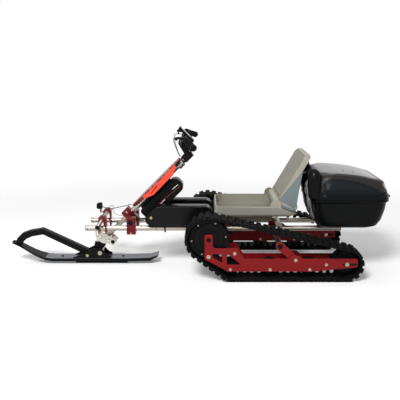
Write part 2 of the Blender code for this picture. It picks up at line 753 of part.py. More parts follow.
def plate_outlines():
    """Side plate of a track unit with its two windows, as X and Z."""
    rear_of_upright = PLATE_FRONT_X - PLATE_UPRIGHT_WIDTH
    corner = 0.010
    outline = (
        arc_points((PLATE_FRONT_X - corner, PLATE_TOP_Z - corner), corner, 0, 90, 3)
        + arc_points((rear_of_upright + corner, PLATE_TOP_Z - corner), corner, 90, 180, 3)
        + arc_points((rear_of_upright - 0.018, PLATE_SHELF_Z + 0.018), 0.018, 0, -90, 4)
        + [(-0.235, PLATE_SHELF_Z), (-0.274, PLATE_BEAM_Z)]
        + [(HUMP_X + HUMP_HALF_BASE, PLATE_BEAM_Z), (HUMP_X + HUMP_HALF_TOP, PLATE_BEAM_Z + HUMP_RISE)]
        + [(HUMP_X - HUMP_HALF_TOP, PLATE_BEAM_Z + HUMP_RISE), (HUMP_X - HUMP_HALF_BASE, PLATE_BEAM_Z)]
        + arc_points((PLATE_REAR_X + corner, PLATE_BEAM_Z - corner), corner, 90, 180, 3)
        + [(PLATE_REAR_X, 0.092), (PLATE_REAR_X + 0.006, 0.087), (-0.673, PLATE_BOTTOM_Z)]
        + [(-0.182, PLATE_BOTTOM_Z), (PLATE_FRONT_X, PLATE_CHIN_Z)]
    )
    front_window = [(-0.094, 0.166), (-0.147, 0.166), (-0.147, 0.115), (-0.094, 0.147)]
    rear_window = [(-0.175, 0.162), (-0.188, 0.162), (-0.256, 0.103), (-0.175, 0.103)]
    return [outline, front_window, rear_window]


def make_side_plates():
    for label, side in SIDES:
        for place, y in (("outer", OUTER_PLATE_Y), ("inner", INNER_PLATE_Y)):
            name = label + "_" + place + "_plate"
            side_piece(name, plate_outlines(), PLATE_THICKNESS, side * y, "red_anodised")


def wheel_profile(radius, hub_radius, dish_outer, dish_inner):
    """Half section of a wheel from its outer hub end, over the rim, to its inner hub end."""
    hub_out = OUTER_PLATE_Y - PLATE_THICKNESS / 2 - FIT_GAP
    hub_in = INNER_PLATE_Y + PLATE_THICKNESS / 2 + FIT_GAP
    recess = 0.008
    return [
        (0, hub_out), (hub_radius, hub_out), (hub_radius, WHEEL_FACE_Y), (dish_inner, WHEEL_FACE_Y),
        (dish_inner, WHEEL_FACE_Y - recess), (dish_outer, WHEEL_FACE_Y - recess), (dish_outer, WHEEL_FACE_Y),
        (radius, WHEEL_FACE_Y), (radius, WHEEL_INNER_Y), (hub_radius, WHEEL_INNER_Y), (hub_radius, hub_in),
        (0, hub_in),
    ]


def make_wheels():
    sole = LUG_HEIGHT + BELT_THICKNESS + FIT_GAP
    for label, side in SIDES:
        drive = wheel_profile(DRIVE_RADIUS, 0.020, 0.087, 0.058)
        turned_piece(label + "_drive_wheel", drive, DRIVE_X, DRIVE_Z, side, "black_plastic", WHEEL_SIDES)
        idler = wheel_profile(IDLER_RADIUS, 0.012, 0.062, 0.034)
        turned_piece(label + "_idler_wheel", idler, IDLER_X, sole + IDLER_RADIUS, side, "black_plastic", WHEEL_SIDES)
        road = wheel_profile(ROAD_WHEEL_RADIUS, 0.009, 0.040, 0.022)
        for number, x in enumerate(ROAD_WHEEL_X, start=1):
            name = f"{label}_road_wheel_{number}"
            turned_piece(name, road, x, sole + ROAD_WHEEL_RADIUS, side, "black_plastic", ROAD_WHEEL_SIDES)


def make_under_tubes():
    """Cross tubes below the rails, each with two saddles that hold the rails."""
    plate_face = INNER_PLATE_Y - PLATE_THICKNESS / 2 - FIT_GAP
    arm_face = OUTER_PLATE_Y - PLATE_THICKNESS / 2 - FIT_GAP
    for name, x, half in (("front_under_tube", DRIVE_X, plate_face), ("rear_under_tube", REAR_TUBE_X, arm_face)):
        tube = cross_tube(name, x, UNDER_TUBE_Z, half, CROSS_TUBE_RADIUS, "black_paint")
        height = RAIL_Z - UNDER_TUBE_Z
        for label, side in SIDES:
            centre = (x, side * RAIL_Y, UNDER_TUBE_Z + height / 2)
            join_box(tube, centre, (2 * SADDLE_HALF_X, 2 * SADDLE_HALF_Y, height))
        cut_rails_out(tube, x, 4 * SADDLE_HALF_X)


def make_link_arms():
    """Arm from the rear cross tube down to the hump of the outer plate, with its pivot pin."""
    tube_end, pivot = Vector((REAR_TUBE_X, UNDER_TUBE_Z)), Vector((LINK_PIVOT_X, LINK_PIVOT_Z))
    heading = math.degrees(math.atan2(tube_end.y - pivot.y, tube_end.x - pivot.x))
    half = LINK_ARM_WIDTH / 2
    outline = (arc_points(tube_end, half, heading - 90, heading + 90, 8)
               + arc_points(pivot, half * 0.7, heading + 90, heading + 270, 8))
    bore = circle_points(tube_end, clear_radius(CROSS_TUBE_RADIUS))
    y = OUTER_PLATE_Y - PLATE_THICKNESS / 2 - FIT_GAP - LINK_ARM_THICKNESS / 2
    for label, side in SIDES:
        side_piece(label + "_link_arm", [outline, bore], LINK_ARM_THICKNESS, side * y, "red_anodised")


def make_seat_bracket():
    """Bent sheet that stands on the rails and carries the seat."""
    foot_z = RAIL_Z + RAIL_RADIUS + FIT_GAP
    sheet, foot = BRACKET_SHEET, BRACKET_FOOT
    top = SEAT_PLATE_Z + sheet
    outline = [
        (BRACKET_FRONT_X + foot, foot_z), (BRACKET_FRONT_X + foot, foot_z + sheet),
        (BRACKET_FRONT_X, foot_z + sheet), (BRACKET_FRONT_X, top), (BRACKET_REAR_X, top),
        (BRACKET_REAR_X, foot_z + sheet), (BRACKET_REAR_X - foot, foot_z + sheet),
        (BRACKET_REAR_X - foot, foot_z), (BRACKET_REAR_X + sheet, foot_z), (BRACKET_REAR_X + sheet, SEAT_PLATE_Z),
        (BRACKET_FRONT_X - sheet, SEAT_PLATE_Z), (BRACKET_FRONT_X - sheet, foot_z),
    ]
    side_piece("seat_bracket", [outline], 2 * BRACKET_HALF_Y, 0, "red_anodised")


def make_control_unit():
    top = SEAT_PLATE_Z - FIT_GAP
    size = (CONTROL_FRONT_X - CONTROL_REAR_X, 2 * CONTROL_HALF_Y, top - CONTROL_BOTTOM_Z)
    centre = ((CONTROL_FRONT_X + CONTROL_REAR_X) / 2, 0, (top + CONTROL_BOTTOM_Z) / 2)
    unit = add_piece("control_unit", box_mesh("control_unit", size), "black_plastic", Matrix.Translation(centre))
    edge = unit.modifiers.new("round_edges", "BEVEL")
    edge.width = 0.012
    edge.segments = 2


def rounded_ring(front, rear, half_y, corner, steps):
    """Rounded rectangle seen from above, anticlockwise."""
    ring = []
    for x, y, start in ((front - corner, half_y - corner, 0), (rear + corner, half_y - corner, 90),
                        (rear + corner, -half_y + corner, 180), (front - corner, -half_y + corner, 270)):
        ring += arc_points((x, y), corner, start, start + 90, steps)
    return ring


def inside_of(sections, wall):
    """The same sections a wall's thickness further in."""
    floor_z = sections[0][0]
    inward = math.copysign(wall, sections[-1][0] - floor_z)
    return [(z + (inward if z == floor_z else 0), front - wall, rear + wall, half_y - wall, corner - wall)
            for z, front, rear, half_y, corner in sections]


def tub_mesh(name, outside, inside, steps):
    """Open shell with a flat rim through rounded sections, closed at the first one."""
    mesh = bpy.data.meshes.new(name)
    body = bmesh.new()
    rings = []
    for z, front, rear, half_y, corner in [*outside, *inside[::-1]]:
        rings.append([body.verts.new((x, y, z)) for x, y in rounded_ring(front, rear, half_y, corner, steps)])
    body.faces.new(rings[0])
    body.faces.new(rings[-1])
    for low, high in zip(rings, rings[1:]):
        for i in range(len(low)):
            j = (i + 1) % len(low)
            body.faces.new((low[i], low[j], high[j], high[i]))
    bmesh.ops.recalc_face_normals(body, faces=body.faces)
    body.to_mesh(mesh)
    body.free()
    return mesh


def make_seat_base():
    seat = add_piece("seat_base", tub_mesh("seat_base", SEAT_OUTSIDE, SEAT_INSIDE, 4), "seat_plastic")
    place = (Matrix.Translation((SEAT_HINGE_X - 0.020, 0, SEAT_RIM_Z)) @ Matrix.Rotation(-SEAT_REAR_SLOPE, 4, "Y")
             @ Matrix.Translation((-0.1, 0, 0.05)))
    cut_box(seat, None, (0.2, 3 * SEAT_HALF_Y, 0.1), place.copy())
    ear_y = SEAT_HALF_Y - EAR_THICKNESS / 2
    ear = (arc_points((SEAT_HINGE_X, SEAT_HINGE_Z), EAR_RADIUS, -10, 150, 8)
           + [(SEAT_HINGE_X - 0.040, SEAT_RIM_Z - 0.030), (SEAT_HINGE_X + 0.060, SEAT_RIM_Z - 0.030)])
    for label, side in SIDES:
        join_outline(seat, [ear], EAR_THICKNESS, side * ear_y)
        pin_length = EAR_THICKNESS / 2 + BACK_SIDE_CLEARANCE + SEAT_PIN_DEPTH
        pin_y = side * (ear_y - pin_length / 2)
        join_rod(seat, (SEAT_HINGE_X, pin_y, SEAT_HINGE_Z), (0, 1, 0), SEAT_PIN_RADIUS, pin_length, 16)


def back_point(along, forward):
    """A point of the seat back, given along the back from its hinge and forward of its front edge."""
    up, back = math.cos(BACK_RECLINE), math.sin(BACK_RECLINE)
    return (SEAT_HINGE_X - back * along + up * forward, SEAT_HINGE_Z + up * along + back * forward)


def back_frame(along, forward):
    """A frame on the seat back: X forward of it, Y to the left, Z up along it."""
    x, z = back_point(along, forward)
    return Matrix.Translation((x, 0, z)) @ Matrix.Rotation(-BACK_RECLINE, 4, "Y")


def make_seat_back():
    half = SEAT_HALF_Y - EAR_THICKNESS - BACK_SIDE_CLEARANCE
    lug = 0.013
    outline = [
        (-lug, -lug), (-lug, 0.004), (-0.004, lug), (lug, lug), (0.034, 0), (BACK_LENGTH - 0.031, 0),
        (BACK_LENGTH - 0.012, -0.007), (BACK_LENGTH, -BACK_EDGE + 0.006), (BACK_LENGTH - 0.010, -BACK_EDGE),
        (0.255, -BACK_EDGE), (0.034, -BACK_DEPTH), (0.020, -BACK_DEPTH + 0.006), (0.004, -0.034),
    ]
    back = side_piece("seat_back", [[back_point(*pair) for pair in outline]], 2 * half, 0, "seat_plastic")
    low, high = 0.050, BACK_LENGTH - 0.020
    middle, height = (low + high) / 2, high - low
    front_depth = 0.06
    cut_box(back, None, (front_depth, 2 * (half - BACK_FLANGE), height),
            back_frame(middle, front_depth / 2 - BACK_RECESS))
    rear_depth = 0.16
    rear_start = BACK_RECESS + BACK_PANEL
    cut_box(back, None, (rear_depth, 2 * (half - BACK_SIDE_WALL), height - 0.02),
            back_frame(middle, -rear_start - rear_depth / 2))
    rounded = arc_points((half - BACK_TOP_CORNER, BACK_LENGTH - BACK_TOP_CORNER), BACK_TOP_CORNER, 0, 90, 4)
    rounded += [(-x, along) for x, along in rounded[::-1]] + [(-half, -0.1), (half, -0.1)]
    curve = outline_curve("seat_back_shape", [rounded], 0.5)
    upright = Matrix.Translation((SEAT_HINGE_X, 0, SEAT_HINGE_Z)) @ Matrix.Rotation(-BACK_RECLINE, 4, "Y")
    facing = upright @ Matrix(((0, 0, 1, 0), (1, 0, 0, 0), (0, 1, 0, 0), (0, 0, 0, 1)))
    shape = curve_to_mesh(add_helper("seat_back_shape", curve, facing))
    shape.display_type = "WIRE"
    combine(back, shape, "INTERSECT")
    for label, side in SIDES:
        centre = (SEAT_HINGE_X, side * half, SEAT_HINGE_Z)
        radius = clear_radius(SEAT_PIN_RADIUS, PIVOT_GAP)
        cut_rod(back, centre, (0, 1, 0), radius, 2 * SEAT_PIN_DEPTH + 4 * PIVOT_GAP)


def lid_drop(x):
    """How far the lid's roof has come down at a distance along the case."""
    front, rear = CASE_LID_SECTIONS[-1][1], CASE_LID_SECTIONS[0][2]
    share = min(1, max(0, (front - x) / (front - rear)))
    return CASE_LID_DROP * share ** 1.9


def slope_lid_roof(mesh):
    """Lowers the roof towards the rear, more the higher a point lies."""
    start, top = CASE_LID_SLOPE_START, CASE_LID_SECTIONS[-1][0]
    for vert in mesh.vertices:
        share = max(0, (vert.co.z - start) / (top - start))
        vert.co.z -= lid_drop(vert.co.x) * share


def make_case():
    base_mesh = tub_mesh("case_base", CASE_BASE_SECTIONS, inside_of(CASE_BASE_SECTIONS, CASE_WALL), CASE_CORNER_STEPS)
    lid_sections = CASE_LID_SECTIONS[::-1]
    lid_mesh = tub_mesh("case_lid", lid_sections, inside_of(lid_sections, CASE_WALL), CASE_CORNER_STEPS)
    slope_lid_roof(lid_mesh)
    base = add_piece("case_base", base_mesh, "black_plastic")
    lid = add_piece("case_lid", lid_mesh, "black_plastic")
    web = 0.014
    rear_wall = CASE_BASE_SECTIONS[-1][2]
    web_x = (CASE_HINGE_X + rear_wall + 0.003) / 2
    web_length = rear_wall + 0.003 - CASE_HINGE_X
    for piece, places, direction in ((base, BASE_KNUCKLES_Y, -1), (lid, LID_KNUCKLES_Y, 1)):
        for y in places:
            web_z = CASE_SEAM_Z + direction * (0.003 + web / 2)
            join_box(piece, (web_x, y, web_z), (web_length, KNUCKLE_LENGTH - 0.004, web))
            join_rod(piece, (CASE_HINGE_X, y, CASE_SEAM_Z), (0, 1, 0), CASE_HINGE_RADIUS, KNUCKLE_LENGTH, 16)


def make_case_carrier():
    foot_z = RAIL_Z + RAIL_RADIUS + FIT_GAP
    top = CASE_BASE_SECTIONS[0][0] - FIT_GAP
    size = (CARRIER_FRONT_X - CARRIER_REAR_X, 2 * CARRIER_HALF_Y, top - foot_z)
    centre = ((CARRIER_FRONT_X + CARRIER_REAR_X) / 2, 0, (top + foot_z) / 2)
    add_piece("case_carrier", box_mesh("case_carrier", size), "black_paint", Matrix.Translation(centre))


def deck_height(x):
    """Height of the ski's top at a distance along it."""
    for (x0, _, z0, _), (x1, _, z1, _) in zip(SKI_SECTIONS, SKI_SECTIONS[1:]):
        if x0 <= x <= x1:
            return z0 + (z1 - z0) * (x - x0) / (x1 - x0)
    return SKI_SECTIONS[-1][2]


def make_ski():
    mesh = bpy.data.meshes.new("ski")
    body = bmesh.new()
    rows = []
    for x, sole, deck, half in SKI_SECTIONS:
        corners = ((x, -half, sole), (x, half, sole), (x, half, deck), (x, -half, deck))
        rows.append([body.verts.new(corner) for corner in corners])
    for rear, front in zip(rows, rows[1:]):
        for i in range(4):
            j = (i + 1) % 4
            body.faces.new((rear[i], rear[j], front[j], front[i]))
    body.faces.new(rows[0])
    body.faces.new(rows[-1])
    bmesh.ops.triangulate(body, faces=body.faces)
    bmesh.ops.recalc_face_normals(body, faces=body.faces)
    body.to_mesh(mesh)
    body.free()
    ski = add_piece("ski", mesh, "black_plastic")
    keel_top = SKI_SECTIONS[2][1] + 0.004
    join_box(ski, ((KEEL_FRONT_X + KEEL_REAR_X) / 2, 0, keel_top / 2),
             (KEEL_FRONT_X - KEEL_REAR_X, 2 * KEEL_HALF_Y, keel_top))


def make_ski_handle():
    """Bow handle from the nose over the peak and down to the deck between the saddle's cheeks."""
    rear_x, front_x = HANDLE_REAR_X, HANDLE_NOSE_X
    rear_z = deck_height(rear_x) + FIT_GAP
    nose = [(x, deck_height(x) + FIT_GAP) for x in (front_x - HANDLE_NOSE_FOOT, SKI_SECTIONS[-2][0], front_x)]
    outer = [nose[2], (front_x - 0.012, nose[2][1] + 0.030), (1.108, 0.190), (1.056, 0.209),
             (HANDLE_PEAK_X, HANDLE_PEAK_Z), (rear_x, 0.085)]
    inner = [(rear_x, rear_z), (rear_x + 0.028, rear_z), (0.745, 0.069), (HANDLE_PEAK_X, HANDLE_PEAK_Z - 0.039),
             (1.045, 0.170), (1.082, 0.154), (nose[0][0] - 0.004, nose[0][1] + 0.010), nose[0], nose[1]]
    side_piece("ski_handle", [outer + inner], 2 * HANDLE_HALF_Y, 0, "black_plastic")


def make_ski_saddle():
    """Channel on the deck with two cheeks and the pin that the spindle swings on."""
    deck = deck_height(SKI_PIVOT_X) + FIT_GAP
    outline = [(x, z or deck) for x, z in SADDLE_TOP]
    front_x, rear_x = SADDLE_TOP[0][0], SADDLE_TOP[-1][0]
    saddle = side_piece("ski_saddle", [outline], 2 * SADDLE_HALF, 0, "black_plastic")
    floor_end = HANDLE_REAR_X - 0.008
    floor = deck + 0.006
    inside = 2 * (SADDLE_HALF - SADDLE_PLATE)
    height = 0.2
    margin = 0.04
    cut_box(saddle, ((floor_end + rear_x - margin) / 2, 0, floor + height / 2),
            (floor_end - rear_x + margin, inside, height))
    cut_box(saddle, ((floor_end + front_x + margin) / 2 - 0.001, 0, deck + height / 2 - 0.01),
            (front_x - floor_end + margin, inside, height))
    join_rod(saddle, (SKI_PIVOT_X, 0, SKI_PIVOT_Z), (0, 1, 0), SKI_PIN_RADIUS, 2 * SADDLE_HALF - 0.002, 16)


def make_ski_link():
    """Truss cheeks and spindle on the foot of the column, swung with it."""
    collar_half = TRUSS_Y - TRUSS_THICKNESS / 2
    collar = [column_point(along, behind) for along, behind in (
        (TRUSS_COLLAR_START, -TRUSS_COLLAR_HALF), (TRUSS_COLLAR_END, -TRUSS_COLLAR_HALF),
        (TRUSS_COLLAR_END, TRUSS_COLLAR_HALF), (TRUSS_COLLAR_START, TRUSS_COLLAR_HALF))]
    outline = [(corner.x, corner.z) for corner in collar]
    link = side_piece("ski_link", [outline], 2 * collar_half + 0.002, 0, "bare_alloy")
    house, half = (TRUSS_HOUSING_X, TRUSS_HOUSING_Z), TRUSS_HOUSING_HALF
    cheek = [(0.640, 0.216), (0.609, 0.211), (0.560, 0.184), (house[0] + 0.004, house[1] + half * 1.45),
             (house[0] - half * 1.35, house[1]), (house[0], house[1] - half * 1.35), (0.548, 0.127),
             (0.600, 0.136), (0.637, 0.170)]
    windows = [
        [(0.632, 0.206), (0.615, 0.201), (0.620, 0.188), (0.630, 0.184)],
        [(0.617, 0.181), (0.602, 0.187), (0.594, 0.181), (0.596, 0.164), (0.611, 0.163)],
        [(0.5705, 0.1475), (0.5615, 0.1415), (0.5490, 0.1545), (0.5490, 0.1630), (0.5580, 0.1610)],
    ]
    for label, side in SIDES:
        join_outline(link, [cheek, *windows], TRUSS_THICKNESS, side * TRUSS_Y)
    join_rod(link, (house[0], 0, house[1]), (0, 1, 0), 0.018, 0.104, 24)
    neck = [(SKI_PIVOT_X - 0.014, SKI_PIVOT_Z), (SKI_PIVOT_X + 0.014, SKI_PIVOT_Z), *SPINDLE_FRONT, *SPINDLE_REAR]
    join_outline(link, [neck], 2 * SPINDLE_HALF_Y - 0.004, 0)
    join_rod(link, (SKI_PIVOT_X, 0, SKI_PIVOT_Z), (0, 1, 0), SPINDLE_RADIUS, 2 * SPINDLE_HALF_Y, 24)
    cut_rod(link, (SKI_PIVOT_X, 0, SKI_PIVOT_Z), (0, 1, 0), clear_radius(SKI_PIN_RADIUS, PIVOT_GAP), 0.2)
    reach = 0.2
    cut_rod(link, column_point(TRUSS_COLLAR_START + 0.012 + reach / 2), COLUMN_AXIS,
            clear_radius(COLUMN_RADIUS), reach)


def bar_points():
    """Centre line of the handlebar's left half, from the stem outwards."""
    x, z = BAR_X, BAR_Z
    return [(x, 0, z), (x, 0.045, z), (x - 0.006, 0.130, z + BAR_RISE - 0.003),
            (x - BAR_INNER_SWEEP, GRIP_INNER_Y, z + BAR_RISE), (x - BAR_SWEEP, BAR_END_Y, z + BAR_END_RISE)]


def make_steering_column():
    """Column with the stem that carries the handlebar."""
    start = TRUSS_COLLAR_START + 0.012 + FIT_GAP
    mesh = rod_mesh("steering_column", COLUMN_RADIUS, COLUMN_LENGTH - start)
    column = add_piece("steering_column", mesh, "bare_alloy", column_frame((start + COLUMN_LENGTH) / 2))
    clamp = [column_point(along, behind) for along, behind in (
        (STEM_START, -STEM_CLAMP_RADIUS), (STEM_START, STEM_CLAMP_RADIUS),
        (STEM_END, STEM_CLAMP_RADIUS), (STEM_END, -STEM_CLAMP_RADIUS))]
    join_outline(column, [[(corner.x, corner.z) for corner in clamp]], 2 * STEM_HALF_Y, 0)
    foot = column_point((STEM_START + STEM_END) / 2 + 0.016, -0.004)
    heading = math.atan2(BAR_Z - foot.z, BAR_X - foot.x)
    across = math.degrees(heading) - 90
    arm = (arc_points((BAR_X, BAR_Z), STEM_TOP_RADIUS, across, across + 180, 8)
           + arc_points((foot.x, foot.z), STEM_TOP_RADIUS, across + 180, across + 360, 8))
    join_outline(column, [arm], 2 * STEM_HALF_Y - 0.002, 0)
    cut_rod(column, (BAR_X, 0, BAR_Z), (0, 1, 0), clear_radius(BAR_RADIUS), 0.2)


def make_handlebar():
    half = bar_points()
    whole = [(x, -y, z) for x, y, z in half[:0:-1]] + half
    curve = tube_curve("handlebar", whole, BAR_RADIUS, 12)
    bar = curve_to_mesh(add_piece("handlebar", curve, "black_rubber"))
    inner, outer = Vector(half[-2]), Vector(half[-1])
    for label, side in SIDES:
        mirror = Vector((1, side, 1))
        a, b = inner * mirror, outer * mirror
        middle, length = (a + b) / 2, (b - a).length + 0.004
        join_rod(bar, middle, (b - a).normalized(), GRIP_RADIUS, length, 20)


def make_display():
    """Flat plate across the column's direction, on a foot that sits on the top of the stem."""
    up, back = math.sin(COLUMN_RAKE), math.cos(COLUMN_RAKE)
    dx, dz = BAR_X - COLUMN_X, BAR_Z - COLUMN_Z
    bar_along, bar_behind = up * dz - back * dx, -up * dx - back * dz
    size = (DISPLAY_REAR - DISPLAY_FRONT, 2 * DISPLAY_HALF_Y, DISPLAY_THICKNESS)
    place = column_frame(DISPLAY_ALONG, (DISPLAY_REAR + DISPLAY_FRONT) / 2)
    display = add_piece("display", box_mesh("display", size), "black_plastic", place)
    foot = (DISPLAY_FOOT, DISPLAY_FOOT, DISPLAY_ALONG - bar_along)
    join_box(display, None, foot, column_frame((DISPLAY_ALONG + bar_along) / 2, bar_behind - DISPLAY_FOOT_SHIFT))
    cut_rod(display, (BAR_X, 0, BAR_Z), (0, 1, 0), clear_radius(STEM_TOP_RADIUS), 4 * DISPLAY_FOOT)


def smooth_round_pieces():
    """Shades the meshes smooth, with their real corners kept sharp."""
    for piece in parts.objects:
        if piece.type == "MESH":
            piece.data.shade_smooth()
            piece.data.set_sharp_from_angle(angle=math.radians(35))


make_rails()
make_front_crossbar()
make_column_clamp()
make_steering_sleeve()
make_foot_rest()
make_headlight()
make_batteries()
make_column_battery()
make_front_cover()
make_tracks()
make_side_plates()
make_wheels()
make_under_tubes()
make_link_arms()
make_seat_bracket()
make_control_unit()
make_seat_base()
make_seat_back()
make_case()
make_case_carrier()
make_ski()
make_ski_handle()
make_ski_saddle()
make_ski_link()
make_steering_column()
make_handlebar()
make_display()
smooth_round_pieces()
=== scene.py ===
"""Looks of a snow go-kart: its finishes, trim and cables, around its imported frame."""

import math

import bmesh
import bpy
from bpy.props import FloatProperty, FloatVectorProperty, PointerProperty
from mathutils import Matrix, Vector


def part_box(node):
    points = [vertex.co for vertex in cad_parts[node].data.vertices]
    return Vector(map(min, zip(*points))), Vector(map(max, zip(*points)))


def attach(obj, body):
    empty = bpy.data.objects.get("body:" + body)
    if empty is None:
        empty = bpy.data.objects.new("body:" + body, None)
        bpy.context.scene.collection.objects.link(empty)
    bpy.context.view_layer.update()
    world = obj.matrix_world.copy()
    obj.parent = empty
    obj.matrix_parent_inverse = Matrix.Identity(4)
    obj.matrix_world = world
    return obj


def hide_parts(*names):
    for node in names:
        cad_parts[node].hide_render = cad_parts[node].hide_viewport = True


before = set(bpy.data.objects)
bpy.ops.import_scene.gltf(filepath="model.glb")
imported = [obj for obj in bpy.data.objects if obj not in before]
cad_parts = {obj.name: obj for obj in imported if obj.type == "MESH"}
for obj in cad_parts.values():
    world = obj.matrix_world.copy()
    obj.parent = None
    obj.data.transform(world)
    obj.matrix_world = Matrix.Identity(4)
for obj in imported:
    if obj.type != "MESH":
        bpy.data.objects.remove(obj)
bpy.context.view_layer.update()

bl_info = {
    "name": "Snow Go-Kart Looks",
    "version": (1, 0, 0),
    "blender": (4, 5, 0),
    "location": "View3D > Sidebar > Go-Kart",
    "description": "Finishes, trim, belts and cables of a snow go-kart",
    "category": "Add Mesh",
}

SIDES = {"left": 1.0, "right": -1.0}

# The steering column: a point on its axis, and the two directions of its side view.
COLUMN_FOOT = Vector((0.593, 0.0, 0.1475))
ALONG = Vector((-1.0, 0.0, 1.0)).normalized()
BEHIND = Vector((-1.0, 0.0, -1.0)).normalized()
ACROSS = Vector((0.0, 1.0, 0.0))

# The belt's three turning circles, as x, z and radius of its inner face, rear one first.
BELT_TURNS = ((-0.871, 0.1003, 0.0803), (-0.196, 0.0723, 0.0523), (-0.07, 0.25, 0.1193))
BELT_Y = (0.27, 0.41)
DRIVE_HUB = (-0.07, 0.25)
ROAD_WHEEL_X = (-0.196, -0.426, -0.656)
ROAD_WHEEL_Z = 0.0723
IDLER_HUB = (-0.871, 0.1003)

# The column cover's sections: along, half width of its face and of its wings, and how far behind the wings reach.
COVER_STATIONS = (
    (0.29, 0.006, 0.016, -0.0235), (0.385, 0.052, 0.078, -0.008), (0.45, 0.06, 0.105, 0.013),
    (0.615, 0.056, 0.098, 0.011), (0.665, 0.052, 0.078, -0.006), (0.706, 0.046, 0.056, -0.016),
)

# The back rest's hinge as x and z, and the two directions of its side view.
SEAT_HINGE = (-0.472, 0.412)
BACK_UP = (-0.5, 0.866)
BACK_FORWARD = (0.866, 0.5)

RAIL_Y = 0.105
RAIL_Z = 0.247
RAIL_RADIUS = 0.016
RAIL_ENDS = (-0.883, 0.684)
# The cross tubes' saddles are above this height.
SADDLE_Z = 0.2225

# Reach of the paler edges, partly rubbed and partly a painted highlight.
EDGE_WEAR_AND_HIGHLIGHT_REACH = 0.0022
GRAIN_DEPTH = 0.0004

# The foot rest's tube in the middle as x and z, and its left end.
FOOT_TUBE = (0.581, 0.3035)
FOOT_BEND = Vector((0.581, 0.112, 0.3035))
FOOT_END = Vector((0.6016, 0.2, 0.272))


def srgb(red, green, blue):
    """Turns screen values of 0 to 255 into Blender's linear colour."""
    steps = []
    for value in (red, green, blue):
        share = value / 255
        steps.append(share / 12.92 if share <= 0.04045 else ((share + 0.055) / 1.055) ** 2.4)
    return tuple(steps)


def colour(label, about, *screen):
    """Makes one colour setting from its screen values."""
    return FloatVectorProperty(
        name=label, description=about, subtype="COLOR", size=3, min=0.0, max=1.0, default=srgb(*screen)
    )


def length(label, about, default):
    """Makes one length setting, in metres."""
    return FloatProperty(name=label, description=about, default=default, min=0.0, unit="LENGTH", precision=4)


class KartColours(bpy.types.PropertyGroup):
    """Colours of the kart's finishes."""

    silver: colour("Bare alloy", "Warm silver of the rails, sleeve and foot tube", 176, 167, 157)
    bright: colour("Blasted alloy", "Paler metal of the ski link and peg tube", 205, 199, 190)
    red: colour("Red plate", "Anodised red of the belt plates and clamps", 118, 9, 15)
    crimson: colour("Crimson clamp", "Darker red of the machined clamps in front", 98, 8, 20)
    black: colour("Black plastic", "Moulded parts of the controls, wheels and ski", 11, 11, 12)
    wheel: colour("Wheel grey", "Drive discs, idlers and road wheels", 25, 26, 27)
    gloss: colour("Gloss black", "Battery housings", 8, 8, 10)
    case: colour("Case black", "Rear case, base and lid", 10, 11, 12)
    case_panel: colour("Case panel", "Raised panels on the lid's sides", 8, 13, 17)
    paint: colour("Black paint", "Powder coated tubes and brackets", 12, 12, 13)
    rubber: colour("Rubber", "Belts, grips and wheel rims", 12, 12, 12)
    orange: colour("Orange cover", "Painted cover of the column", 238, 70, 46)
    cover_face: colour("Cover face", "Grey-pink front of the column cover", 142, 112, 114)
    seat: colour("Seat", "Moulded seat shell", 155, 152, 138)
    # Painted shade: the back rest's sides and rear, turned from the light, are given this cooler, darker grey.
    seat_shade: colour("Seat outside", "Cooler grey of the back rest's sides", 112, 121, 122)
    # Painted shade: the outer walls below the rim are darker to stand for the shell's belly turning from the light.
    seat_side_shade: colour("Seat side", "Greyer outer walls of the seat shell", 126, 126, 116)
    seat_under: colour("Seat underside", "Shaded tan of the shell below the seat", 116, 108, 94)
    # Painted shade: the back rest's front and the inside of the seat are darker than the lit shell.
    seat_panel_shade: colour("Seat panel", "Darker beige front of the back rest", 122, 120, 106)
    roof: colour("Case roof", "Polished top of the case's lid", 11, 12, 14)
    # Painted reflection: this lighter brown-grey stands for the studio seen in the lid's shoulder.
    bevel: colour("Case shoulder", "Brown-grey shoulder round the lid's panels", 30, 27, 25)
    wine: colour("Dark red", "Shaded red of the cover's lower wings", 84, 16, 20)
    deck: colour("Ski deck", "Blue-grey panel on top of the ski", 78, 83, 89)
    brass: colour("Zinc yellow", "Yellow plated bolts", 182, 170, 146)
    steel: colour("Steel", "Bolts, washers and pins", 176, 170, 150)
    mark: colour("Light mark", "Pale dashes on the column battery", 214, 216, 216)
    screen: colour("Screen", "Dark glass of the display", 10, 12, 14)
    reflector: colour("Reflector", "Red corner reflectors of the case", 150, 16, 22)
    lens: colour("Lamp lens", "Clear lens of the headlight", 205, 212, 218)
    strap: colour("Latch strap", "Grey latch over the case's front seam", 122, 122, 124)
    floor: colour("Floor", "Plain studio floor", 247, 247, 247)


class KartSizes(bpy.types.PropertyGroup):
    """Sizes of the kart's trim."""

    edge: length("Edge rounding", "Width of the rounding on machined and moulded edges", 0.0009)
    band_thickness: length("Belt thickness", "Thickness of the belt's band", 0.0085)
    lug_pitch: length("Lug pitch", "Distance from one row of lugs to the next", 0.043)
    lug_base: length("Lug base", "Length of a lug where it meets the band", 0.03)
    lug_top: length("Lug top", "Length of a lug at its top", 0.0262)
    lug_height: length("Lug height", "How far a lug stands out of the band", 0.0112)
    guide_height: length("Guide height", "How far a guide lug stands into the loop", 0.026)
    cable: length("Cable", "Diameter of the control cables", 0.0045)


def colours():
    return bpy.context.scene.kart_colours


def sizes():
    return bpy.context.scene.kart_sizes
